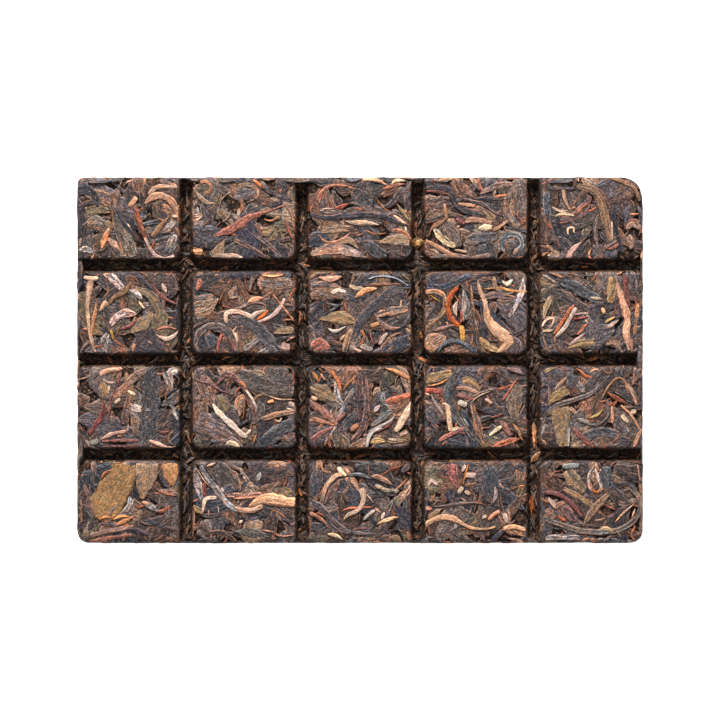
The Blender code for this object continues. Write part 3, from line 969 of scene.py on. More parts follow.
# Folded leaves
# Leaf that folded on itself in the press, so its creases stand up as parallel ridges, silver grey
# to pinkish brown where the light catches them.
SILVER = tint(136, 122, 114)
FOLDED_LEAVES = [
    (24, tint(92, 76, 70)),
    (22, tint(76, 62, 58)),
    (14, SILVER),
    (16, tint(110, 82, 68)),
    (16, tint(58, 50, 52)),
    (8, tint(146, 114, 96)),
]
PLACED_FOLDED = {
    "crumpled_corner": (SILVER, 1.6, [(165, 252), (171, 246), (176, 234)], (0.6, 1.0, 0.4)),
    "striped_fold": (tint(186, 156, 134), 1.1, [(161, 233), (168, 229), (176, 221)], (0.3, 1.0, 0.7)),
    "low_crumple": (tint(152, 132, 122), 1.0, [(78, 252), (87, 249), (96, 254)]),
    "third_crumple": (tint(152, 120, 104), 1.0, [(317, 211), (330, 211), (344, 213)]),
    "striped_strip": (
        tint(172, 152, 120), 1.1, [(432, 226), (438, 235), (446, 242), (455, 247)], (0.2, 0.9, 1.0, 0.6),
    ),
    "wrinkled_bundle": (SILVER, 1.2, [(462, 288), (465, 305), (462, 323)]),
    "shell": (
        tint(110, 93, 80), 0.8, [(493, 276), (495, 287), (505, 292), (515, 288), (521, 277)], TORN_OFF,
    ),
    "shell_heart": (tint(206, 182, 160), 0.8, [(500, 279), (506, 284), (513, 278)]),
    "curl": (
        tint(128, 124, 122), 0.8, [(504, 252), (501, 243), (507, 235), (517, 236), (521, 245), (515, 252)],
        TORN_OFF,
    ),
    "curl_heart": (tint(92, 88, 90), 1.2, [(506, 243), (512, 243), (517, 245)], TORN_OFF),
    "pink_fold": (
        tint(190, 152, 142), 1.2, [(111, 326), (116, 318), (126, 313), (138, 314)], (0.5, 0.9, 1.0, 0.3),
    ),
    "pink_stripes": (tint(192, 162, 152), 1.1, [(109, 275), (116, 281), (124, 289)], TORN_OFF),
    "silver_pod": (tint(202, 176, 166), 0.9, [(129, 289), (136, 293), (144, 300)]),
    "bark_stripes": (tint(172, 147, 132), 1.3, [(166, 371), (170, 381), (172, 391)], TAPERED),
    "white_wave": (tint(182, 166, 152), 0.55, [(169, 403), (174, 408), (175, 414), (179, 420)], TORN_OFF),
    "second_weave": (
        tint(122, 77, 64), 0.9,
        [(214, 386), (222, 377), (230, 374), (239, 381), (246, 391), (250, 402), (257, 421)], TORN_OFF,
    ),
    "trunk": (
        tint(106, 81, 76), 1.0, [(362, 369), (365, 390), (366, 410), (362, 427), (351, 442)], TORN_OFF,
    ),
    "grey_strands": (tint(110, 104, 103), 0.8, [(337, 419), (345, 404), (354, 387)], TORN_OFF),
    "grey_pink_stem": (
        tint(192, 167, 160), 0.9, [(523, 276), (521, 290), (517, 301), (512, 311), (507, 318)],
        (0.3, 1.0, 0.9, 0.8, 0.5),
    ),
    "left_triangle": (tint(152, 132, 126), 1.3, [(194, 464), (197, 481), (203, 502)], (0.3, 1.0, 0.3)),
    "long_grey": (
        tint(152, 140, 136), 0.85, [(200, 464), (210, 480), (219, 492), (229, 504), (239, 509), (252, 510)],
        TORN_OFF,
    ),
    "gold_side_crumple": (tint(156, 140, 132), 1.0, [(143, 501), (150, 505), (160, 511)]),
    "grey_knot": (tint(170, 163, 154), 0.7, [(257, 481), (261, 470)]),
    "tan_speckled": (tint(142, 122, 102), 0.75, [(374, 484), (385, 489), (399, 490)], TORN_OFF),
    "last_pink_band": (tint(152, 132, 124), 0.8, [(544, 537), (562, 536), (581, 537)], TORN_OFF),
    "loop_left": (tint(196, 166, 154), 0.6, [(592, 465), (588, 475), (589, 486), (594, 492)], TORN_OFF),
    "loop_right": (tint(204, 172, 158), 0.55, [(594, 466), (597, 477), (600, 488), (595, 492)], TORN_OFF),
}
folded_finish = leaf_finish("folded_leaf", streaks=6.4, netting=3.0, lines=0.5)
folded = Spread(13)
folded.scatter(
    count=150, start=6000, half_widths=(0.7, 1.7), lengths=(4, 11), levels=(-0.1, 0.04),
    thicks=(0.16, 0.24), palette=FOLDED_LEAVES, bend=1.1, wander=0.8,
)
folded.place(PLACED_FOLDED, level=0.13, thick=0.22)
press(
    "folded_leaves", folded, folded_finish, points_across=12, crown=6.0,
    ridges=3.0, ridge_height=0.07 * MM, crease_height=0.1 * MM, ragged=0.45,
)


# Twisted leaves
# Young leaf rolled into wiry strips before it dried, blue black to dark brown, with the roll's
# lines along it. It lies pressed between the opened leaves.
BLUE_BLACK = tint(42, 44, 54)
TWISTED_LEAVES = [
    (30, BLUE_BLACK),
    (24, tint(56, 50, 52)),
    (20, tint(50, 38, 34)),
    (14, tint(78, 58, 50)),
    (12, tint(106, 80, 66)),
]
PLACED_TWISTED = {
    "first_block_strip": (BLUE_BLACK, 0.85, [(116, 202), (120, 214), (128, 228), (142, 242)]),
    "long_strip": (
        BLUE_BLACK, 0.95, [(309, 214), (325, 218), (345, 216), (366, 215), (386, 218), (409, 227)],
        TORN_OFF,
    ),
    "purple_strip": (
        tint(76, 58, 58), 0.9, [(381, 210), (392, 203), (397, 195), (403, 191), (411, 192)],
        (0.4, 0.9, 1.0, 1.0, 0.7),
    ),
    "fourth_long": (
        tint(54, 52, 58), 1.05,
        [(423, 188), (440, 188), (449, 191), (453, 200), (460, 208), (472, 213), (486, 217)],
        (0.3, 0.9, 1.0, 1.0, 1.0, 0.9, 0.4),
    ),
    "fourth_black": (tint(58, 54, 58), 0.75, [(470, 199), (488, 199), (506, 200)]),
    "fourth_purple": (tint(102, 77, 72), 0.6, [(457, 197), (470, 201), (482, 204), (490, 211), (504, 217)]),
    "fifth_left_strand": (BLUE_BLACK, 0.8, [(612, 207), (613, 222), (617, 238), (622, 253)], TORN_OFF),
    "fifth_right_strand": (tint(60, 60, 68), 0.8, [(629, 205), (625, 213), (624, 227)], TORN_OFF),
    "fifth_edge_strand": (tint(76, 62, 62), 0.7, [(636, 206), (640, 216), (638, 226)], TORN_OFF),
    "fifth_middle": (tint(94, 82, 80), 0.9, [(596, 214), (594, 232), (597, 251)]),
    "fifth_top": (BLUE_BLACK, 0.55, [(545, 188), (559, 189), (574, 189)], TORN_OFF),
    "sunlit_strip": (
        tint(68, 74, 86), 1.05, [(426, 286), (440, 287), (451, 284), (462, 278), (473, 274)], TORN_OFF,
    ),
    "grey_arc": (
        tint(70, 76, 84), 0.7, [(436, 353), (441, 345), (450, 341), (460, 342), (470, 348), (476, 355)],
        TORN_OFF,
    ),
    "peach_companion": (tint(80, 78, 82), 0.8, [(487, 303), (494, 317), (504, 327), (514, 336)]),
    "long_brown": (
        tint(122, 88, 64), 0.5, [(470, 284), (472, 305), (475, 325), (480, 345), (485, 353)], TORN_OFF,
    ),
    "right_black": (tint(64, 62, 68), 0.6, [(588, 316), (590, 330), (586, 344)]),
    "right_black_two": (tint(64, 62, 68), 0.6, [(595, 312), (597, 328), (594, 342)]),
    "left_strand": (tint(108, 60, 52), 0.5, [(122, 371), (116, 388), (111, 402), (108, 421)], TORN_OFF),
    "small_bar": (BLUE_BLACK, 0.6, [(164, 397), (171, 391), (179, 388)]),
    "dark_curve": (
        tint(86, 73, 69), 0.7,
        [(540, 427), (545, 413), (553, 406), (565, 402), (577, 398), (590, 393), (601, 383), (612, 371)],
        TORN_OFF,
    ),
    "striped_line": (tint(84, 66, 58), 0.55, [(465, 403), (474, 396), (484, 391), (497, 388)], TORN_OFF),
    "low_right_black": (tint(46, 43, 48), 0.7, [(391, 445), (399, 446), (408, 444)]),
    "left_black": (BLUE_BLACK, 0.6, [(91, 468), (91, 480), (96, 493)], TORN_OFF),
    "small_dark_stem": (tint(78, 58, 57), 0.5, [(117, 504), (111, 514), (110, 521), (115, 527)], TORN_OFF),
    "grey_bar": (tint(100, 98, 97), 0.6, [(344, 475), (360, 474), (374, 479)]),
    "front_arc": (tint(92, 82, 78), 0.55, [(429, 506), (445, 505), (458, 503), (470, 502), (483, 503)]),
    "third_low_bar": (tint(56, 54, 60), 0.65, [(383, 254), (394, 252), (408, 257)]),
    "third_crescent": (tint(52, 50, 56), 0.45, [(396, 331), (405, 323), (410, 311)]),
}
twisted_finish = leaf_finish("twisted_leaf", streaks=6.0, netting=2.5, lines=0.45, gloss=0.3, rim=0.12)
twisted = Spread(14)
twisted.scatter(
    count=250, start=9000, half_widths=(0.5, 0.95), lengths=(7, 18), levels=(-0.1, 0.07),
    thicks=(0.18, 0.26), palette=TWISTED_LEAVES, bend=0.9, wander=0.5,
)
twisted.place(PLACED_TWISTED, level=0.15, thick=0.24)
press(
    "twisted_leaves", twisted, twisted_finish, points_across=8, crown=3.0,
    ridge_height=0.06 * MM, ragged=0.3,
)


# Olive leaves
# Coarser old leaf that stayed green to golden, flat, with its veins still standing.
OLIVE = tint(121, 98, 76)
GOLD = tint(150, 113, 73)
OLIVE_LEAVES = [(40, OLIVE), (35, tint(106, 90, 72)), (25, tint(138, 110, 80))]
PLACED_OLIVE = {
    "golden_leaf": (
        GOLD, 4.5, [(99, 518), (107, 503), (116, 487), (124, 473), (127, 462)],
        (0.65, 1.0, 1.0, 0.95, 0.8, 0.7),
    ),
    "mottled_leaf": (
        tint(152, 122, 98), 3.1, [(149, 461), (146, 478), (142, 498)], (0.95, 1.0, 0.9, 0.6, 0.2),
    ),
    "bright_corner": (
        tint(176, 124, 83), 2.6, [(171, 461), (171, 472), (173, 486)], (0.95, 1.0, 0.8, 0.5, 0.1),
    ),
    "second_triangle": (tint(140, 110, 87), 2.5, [(225, 239), (220, 249), (218, 259)], (0.05, 0.5, 1.0)),
    "third_patch": (tint(142, 111, 91), 1.3, [(320, 233), (335, 229), (350, 229)], (0.3, 1.0, 0.6)),
    "third_patch_two": (tint(150, 116, 95), 1.2, [(337, 244), (348, 240), (359, 249)], (0.5, 1.0, 0.3)),
    "crossing_patch": (tint(152, 121, 95), 1.9, [(377, 242), (391, 240), (409, 240)], (0.1, 0.9, 1.0)),
    "long_tan": (
        tint(128, 99, 81), 1.2, [(575, 186), (590, 190), (599, 199), (603, 213), (606, 228), (609, 242)],
        (0.6, 0.9, 1.0, 0.95, 0.8, 0.4),
    ),
    "olive_arch": (
        tint(116, 96, 78), 1.4, [(133, 288), (148, 293), (156, 302), (160, 312), (156, 324)],
        (0.4, 0.8, 1.0, 0.9, 0.5),
    ),
    "inner_curve": (tint(130, 108, 87), 1.9, [(131, 332), (142, 324), (153, 312)], (0.4, 1.0, 0.5)),
    "second_right": (tint(128, 105, 79), 1.1, [(273, 333), (283, 330), (294, 331)], (0.3, 1.0, 0.8)),
    "lens": (
        tint(142, 115, 83), 2.0, [(317, 319), (328, 318), (339, 317), (356, 322)], (0.05, 0.7, 1.0, 0.1),
    ),
    "low_triangle": (tint(150, 121, 87), 1.0, [(478, 337), (486, 345), (498, 351)], TORN_OFF),
    "right_wedge": (tint(146, 119, 83), 1.2, [(566, 348), (579, 343), (595, 342)], (0.2, 1.0, 1.0)),
    "pale_olive": (tint(166, 141, 110), 0.85, [(550, 296), (545, 307), (542, 318)], (0.9, 1.0, 0.4)),
    "veined_leaf": (tint(126, 103, 80), 2.4, [(310, 386), (322, 392), (336, 400)], (0.5, 1.0, 0.3)),
    "striped_olive": (tint(152, 118, 87), 0.9, [(102, 380), (104, 388), (106, 397)], TORN_OFF),
    "second_round": (tint(112, 96, 77), 2.1, [(218, 395), (222, 402), (226, 411)], (0.5, 1.0, 0.4)),
    "high_triangle": (tint(142, 117, 96), 1.0, [(252, 371), (261, 373), (270, 378)], (0.6, 1.0, 0.1)),
    "back_band": (tint(150, 118, 83), 1.6, [(424, 379), (439, 376), (452, 371)], (0.9, 1.0, 0.5)),
    "back_band_two": (tint(150, 117, 87), 1.3, [(461, 381), (470, 380), (480, 390)], (0.8, 1.0, 0.2)),
    "low_yellow": (tint(176, 141, 93), 1.0, [(369, 442), (377, 440), (386, 441)]),
    "low_tan": (tint(136, 108, 85), 0.9, [(386, 441), (397, 439), (408, 440)]),
    "tall_leaf": (
        tint(136, 110, 85), 2.6, [(560, 406), (560, 420), (561, 432), (562, 446)], (1.0, 1.0, 0.8, 0.7),
    ),
    "tall_lobe": (tint(136, 112, 79), 1.6, [(546, 405), (555, 396), (568, 388)], (0.15, 0.9, 0.8)),
    "small_patch": (tint(142, 117, 81), 1.1, [(191, 504), (197, 508), (204, 513)], (0.4, 1.0, 0.1)),
    "front_strip": (tint(142, 113, 87), 0.9, [(561, 487), (572, 493), (582, 499), (592, 506)], TORN_OFF),
    "front_strip_two": (
        tint(132, 103, 82), 1.05, [(584, 523), (590, 512), (597, 504), (607, 493)], (0.5, 1.0, 1.0, 0.7),
    ),
    "high_gold": (tint(150, 121, 83), 0.6, [(542, 373), (549, 368), (557, 366)]),
}
olive_finish = leaf_finish(
    "olive_leaf", streaks=1.2, netting=1.8, grains=2.6, warmth=1.8, lines=0.3, edges=0.5, creases=0.25,
    veins=0.5, rim=0.12,
)
olive = Spread(15)
olive.scatter(
    count=16, start=12000, half_widths=(0.9, 2.2), lengths=(4, 9), levels=(-0.08, 0.02),
    thicks=(0.15, 0.2), palette=OLIVE_LEAVES, bend=0.6, wander=0.9,
)
olive.place(PLACED_OLIVE, level=0.12, thick=0.2)
press("olive_leaves", olive, olive_finish, points_across=14, crown=10.0, crease_height=0.04 * MM, ragged=0.5)


# Rusty strips
# Torn veins and older leaf that fermented red brown to orange, in short thin strips.
ORANGE = tint(196, 108, 58)
RUST = tint(150, 80, 52)
RUSTY_STRIPS = [(30, RUST), (26, tint(118, 66, 48)), (24, tint(172, 108, 70)), (20, tint(134, 98, 78))]
PLACED_RUSTY = {
    "long_stem_head": (RUST, 0.7, [(136, 205), (137, 214), (141, 225), (146, 239)], TORN_OFF),
    "first_vein": (tint(186, 116, 66), 0.2, [(117, 232), (121, 244), (125, 258)]),
    "orange_chip": (tint(214, 132, 84), 1.0, [(102, 249), (105, 240), (110, 228)]),
    "red_leaf": (
        tint(168, 98, 76), 1.3, [(213, 236), (225, 232), (238, 226), (251, 217), (263, 213), (288, 204)],
        (0.2, 0.9, 1.0, 0.5, 0.25, 0.08),
    ),
    "crossing_chip": (tint(212, 142, 98), 0.95, [(190, 252), (203, 252)], TORN_OFF),
    "second_right_line": (RUST, 0.35, [(284, 220), (288, 230), (294, 241)]),
    "second_top_orange": (ORANGE, 0.5, [(252, 179), (258, 184), (264, 189)]),
    "third_small_stem": (
        tint(176, 112, 84), 0.55, [(318, 203), (321, 193), (329, 187), (342, 186), (361, 191)], TAPERED,
    ),
    "third_red": (tint(152, 72, 52), 0.6, [(332, 210), (341, 207), (350, 203)]),
    "crescent": (tint(206, 132, 96), 0.45, [(317, 233), (323, 240), (331, 243), (340, 240), (352, 232)]),
    "third_orange_band": (tint(204, 128, 86), 0.65, [(391, 230), (402, 232), (418, 243)], TORN_OFF),
    "third_rust_top": (tint(156, 92, 66), 0.6, [(381, 190), (392, 186), (405, 184)]),
    "fourth_rust": (tint(132, 76, 66), 0.5, [(424, 191), (437, 192), (450, 195)]),
    "fourth_red": (tint(112, 56, 56), 0.8, [(455, 219), (464, 224)], TORN_OFF),
    "fourth_orange": (ORANGE, 0.35, [(491, 197), (508, 195)]),
    "fifth_line": (ORANGE, 0.3, [(574, 215), (582, 207), (591, 201)]),
    "fifth_rust": (tint(122, 76, 66), 0.55, [(590, 186), (600, 192), (606, 200), (609, 211)]),
    "fifth_low_rust": (tint(162, 96, 76), 0.55, [(605, 249), (612, 248), (619, 242)]),
    "fifth_arc": (tint(150, 86, 66), 0.4, [(622, 232), (626, 223), (633, 220), (640, 224)]),
    "branch": (tint(224, 148, 108), 0.55, [(98, 297), (96, 312), (93, 325), (92, 339)]),
    "first_red_line": (tint(142, 76, 66), 0.45, [(148, 279), (156, 290), (165, 298), (177, 304)]),
    "red_under_fold": (tint(112, 62, 56), 0.6, [(119, 329), (130, 326), (139, 318)]),
    "low_rust": (tint(166, 102, 82), 0.5, [(156, 330), (165, 327), (178, 329)]),
    "second_row_pod": (tint(192, 116, 86), 1.0, [(199, 278), (200, 284), (197, 291)]),
    "orange_lick": (tint(218, 98, 34), 0.5, [(256, 320), (263, 315), (269, 309)]),
    "second_orange_line": (tint(182, 116, 76), 0.33, [(272, 293), (282, 306), (294, 321)], TORN_OFF),
    "second_stripe": (tint(152, 82, 66), 0.45, [(222, 333), (219, 343), (217, 354)], TORN_OFF),
    "second_stripe_two": (tint(152, 82, 66), 0.4, [(228, 335), (232, 343), (237, 353)]),
    "brown_arcs": (tint(150, 111, 96), 0.5, [(228, 308), (240, 308), (250, 303), (262, 303), (270, 309)]),
    "third_orange_leaf": (tint(202, 142, 98), 0.9, [(354, 298), (364, 291), (377, 288)]),
    "third_top_rust": (tint(150, 96, 70), 0.4, [(361, 286), (381, 284), (406, 284)]),
    "red_v": (tint(160, 86, 62), 0.3, [(369, 332), (374, 343), (381, 334)], TORN_OFF),
    "pink_arc": (tint(156, 116, 102), 0.7, [(373, 311), (379, 321), (390, 328), (401, 327)]),
    "orange_lens": (
        tint(190, 86, 30), 0.8, [(457, 287), (450, 296), (447, 309), (451, 320), (458, 326)], TORN_OFF,
    ),
    "lens_side": (tint(170, 70, 34), 0.4, [(459, 308), (461, 317), (459, 325)]),
    "under_stem": (tint(212, 142, 74), 0.45, [(481, 289), (497, 288), (513, 291), (535, 292)]),
    "pink_stripes_low": (tint(150, 108, 98), 0.55, [(432, 331), (445, 327), (456, 324)]),
    "red_white_strip": (tint(192, 102, 52), 0.5, [(553, 334), (562, 320), (573, 304)], TORN_OFF),
    "red_bar": (tint(166, 66, 52), 0.3, [(572, 319), (587, 317)], TORN_OFF),
    "right_orange": (tint(200, 112, 66), 0.5, [(575, 335), (582, 328), (586, 323)]),
    "right_red": (tint(130, 70, 60), 0.65, [(623, 275), (625, 290), (627, 306)], TORN_OFF),
    "dark_red": (tint(126, 56, 50), 0.7, [(104, 403), (103, 414), (95, 425), (90, 434)], TORN_OFF),
    "low_line": (tint(162, 92, 76), 0.4, [(102, 440), (121, 440), (140, 440)], TORN_OFF),
    "low_line_two": (tint(104, 58, 54), 0.5, [(103, 446), (121, 446), (140, 445)], TORN_OFF),
    "ring_red": (tint(166, 92, 72), 0.4, [(157, 429), (163, 432), (170, 430)]),
    "fan_one": (tint(152, 104, 88), 1.3, [(309, 402), (322, 411), (337, 424)], (1.0, 0.8, 0.4)),
    "fan_two": (tint(172, 112, 87), 0.8, [(309, 418), (322, 421), (336, 425)], TAPERED),
    "fan_three": (tint(156, 92, 77), 0.9, [(311, 440), (321, 433), (334, 425)], TAPERED),
    "fan_four": (tint(150, 96, 86), 0.8, [(336, 421), (345, 412)], TORN_OFF),
    "upper_orange": (tint(206, 112, 76), 0.85, [(385, 402), (398, 398), (412, 394)], TORN_OFF),
    "corner_orange": (tint(196, 112, 66), 0.55, [(330, 368), (336, 378), (342, 392)]),
    "tan_line": (tint(192, 132, 82), 0.35, [(342, 392), (348, 383), (355, 377)]),
    "red_under_white": (tint(122, 52, 46), 0.35, [(375, 432), (388, 425), (396, 413)]),
    "red_band": (tint(166, 76, 60), 0.7, [(423, 390), (434, 390), (444, 392)], TORN_OFF),
    "band_edge": (tint(202, 132, 72), 0.3, [(425, 386), (439, 383), (451, 376)]),
    "peach_band_low": (tint(146, 86, 76), 0.7, [(456, 394), (465, 396), (474, 398)], TORN_OFF),
    "river_line": (tint(166, 126, 90), 0.2, [(455, 400), (458, 414), (466, 427), (481, 446)]),
    "low_rust_strip": (tint(166, 96, 80), 0.65, [(438, 440), (449, 434), (465, 427)], TORN_OFF),
    "right_rust_line": (tint(162, 90, 70), 0.35, [(501, 401), (509, 389), (518, 376)], TORN_OFF),
    "low_chip": (tint(142, 96, 86), 0.75, [(500, 420), (504, 427), (509, 435)], TORN_OFF),
    "right_orange_strip": (tint(192, 131, 86), 0.45, [(511, 422), (517, 430), (522, 441)]),
    "second_tan_line": (tint(172, 126, 92), 0.3, [(258, 391), (270, 396), (281, 399), (297, 399)]),
    "second_purple_line": (
        tint(112, 66, 62), 0.4, [(194, 380), (205, 382), (214, 386), (223, 391), (234, 395)],
    ),
    "second_orange": (tint(202, 122, 76), 0.45, [(237, 378), (247, 388)]),
    "cluster_one": (RUST, 0.6, [(605, 391), (616, 398), (628, 404)]),
    "cluster_two": (tint(182, 92, 56), 0.6, [(604, 402), (612, 404), (616, 399)]),
    "cluster_three": (
        tint(150, 101, 66), 0.4, [(600, 399), (608, 385), (616, 378), (623, 381), (627, 393)], TORN_OFF,
    ),
    "cluster_orange": (tint(202, 142, 112), 0.5, [(611, 404), (611, 423)], TORN_OFF),
    "low_red": (tint(136, 76, 66), 0.8, [(570, 426), (580, 436), (593, 447)]),
    "top_rust": (tint(166, 91, 47), 0.6, [(101, 480), (106, 473), (113, 469)]),
    "side_rust": (tint(176, 106, 76), 0.4, [(156, 488), (167, 493), (179, 495)]),
    "side_patch": (tint(152, 82, 62), 0.8, [(204, 482), (205, 496)], TORN_OFF),
    "front_curve": (tint(176, 116, 86), 0.4, [(258, 528), (271, 531), (281, 535), (294, 534)]),
    "front_orange": (tint(182, 116, 86), 0.6, [(309, 512), (316, 515), (324, 521), (331, 530)], TAPERED),
    "front_cream_red": (tint(206, 112, 76), 0.4, [(340, 512), (346, 508), (358, 507), (375, 506)]),
    "tan_top": (tint(166, 121, 101), 0.8, [(369, 475), (380, 477), (393, 485)]),
    "orange_thread": (tint(192, 116, 56), 0.33, [(468, 463), (465, 472), (462, 484)], TORN_OFF),
    "last_red": (
        tint(116, 63, 61), 0.6, [(540, 492), (552, 492), (562, 496), (571, 503), (581, 516)], TORN_OFF,
    ),
    "last_orange": (tint(206, 151, 111), 0.35, [(612, 523), (622, 512), (635, 501)]),
    "last_rust": (tint(162, 86, 56), 0.6, [(556, 514), (566, 521)]),
    "front_low_red": (tint(152, 91, 71), 0.5, [(90, 541), (110, 537), (132, 534)], TORN_OFF),
}
rusty_finish = leaf_finish(
    "rusty_leaf", streaks=3.5, netting=2.0, grains=3.2, warmth=2.0, lines=0.35, edges=0.5, creases=0.5,
    rim=0.08,
)
rusty = Spread(16, step=0.6 * MM)
rusty.scatter(
    count=460, start=15000, half_widths=(0.18, 0.5), lengths=(1.8, 8), levels=(-0.06, 0.1),
    thicks=(0.14, 0.24), palette=RUSTY_STRIPS, bend=1.0, wander=0.7,
)
rusty.place(PLACED_RUSTY, level=0.18, thick=0.18)
press("rusty_strips", rusty, rusty_finish, points_across=6, crown=3.5, ridge_height=0.03 * MM, ragged=0.45)


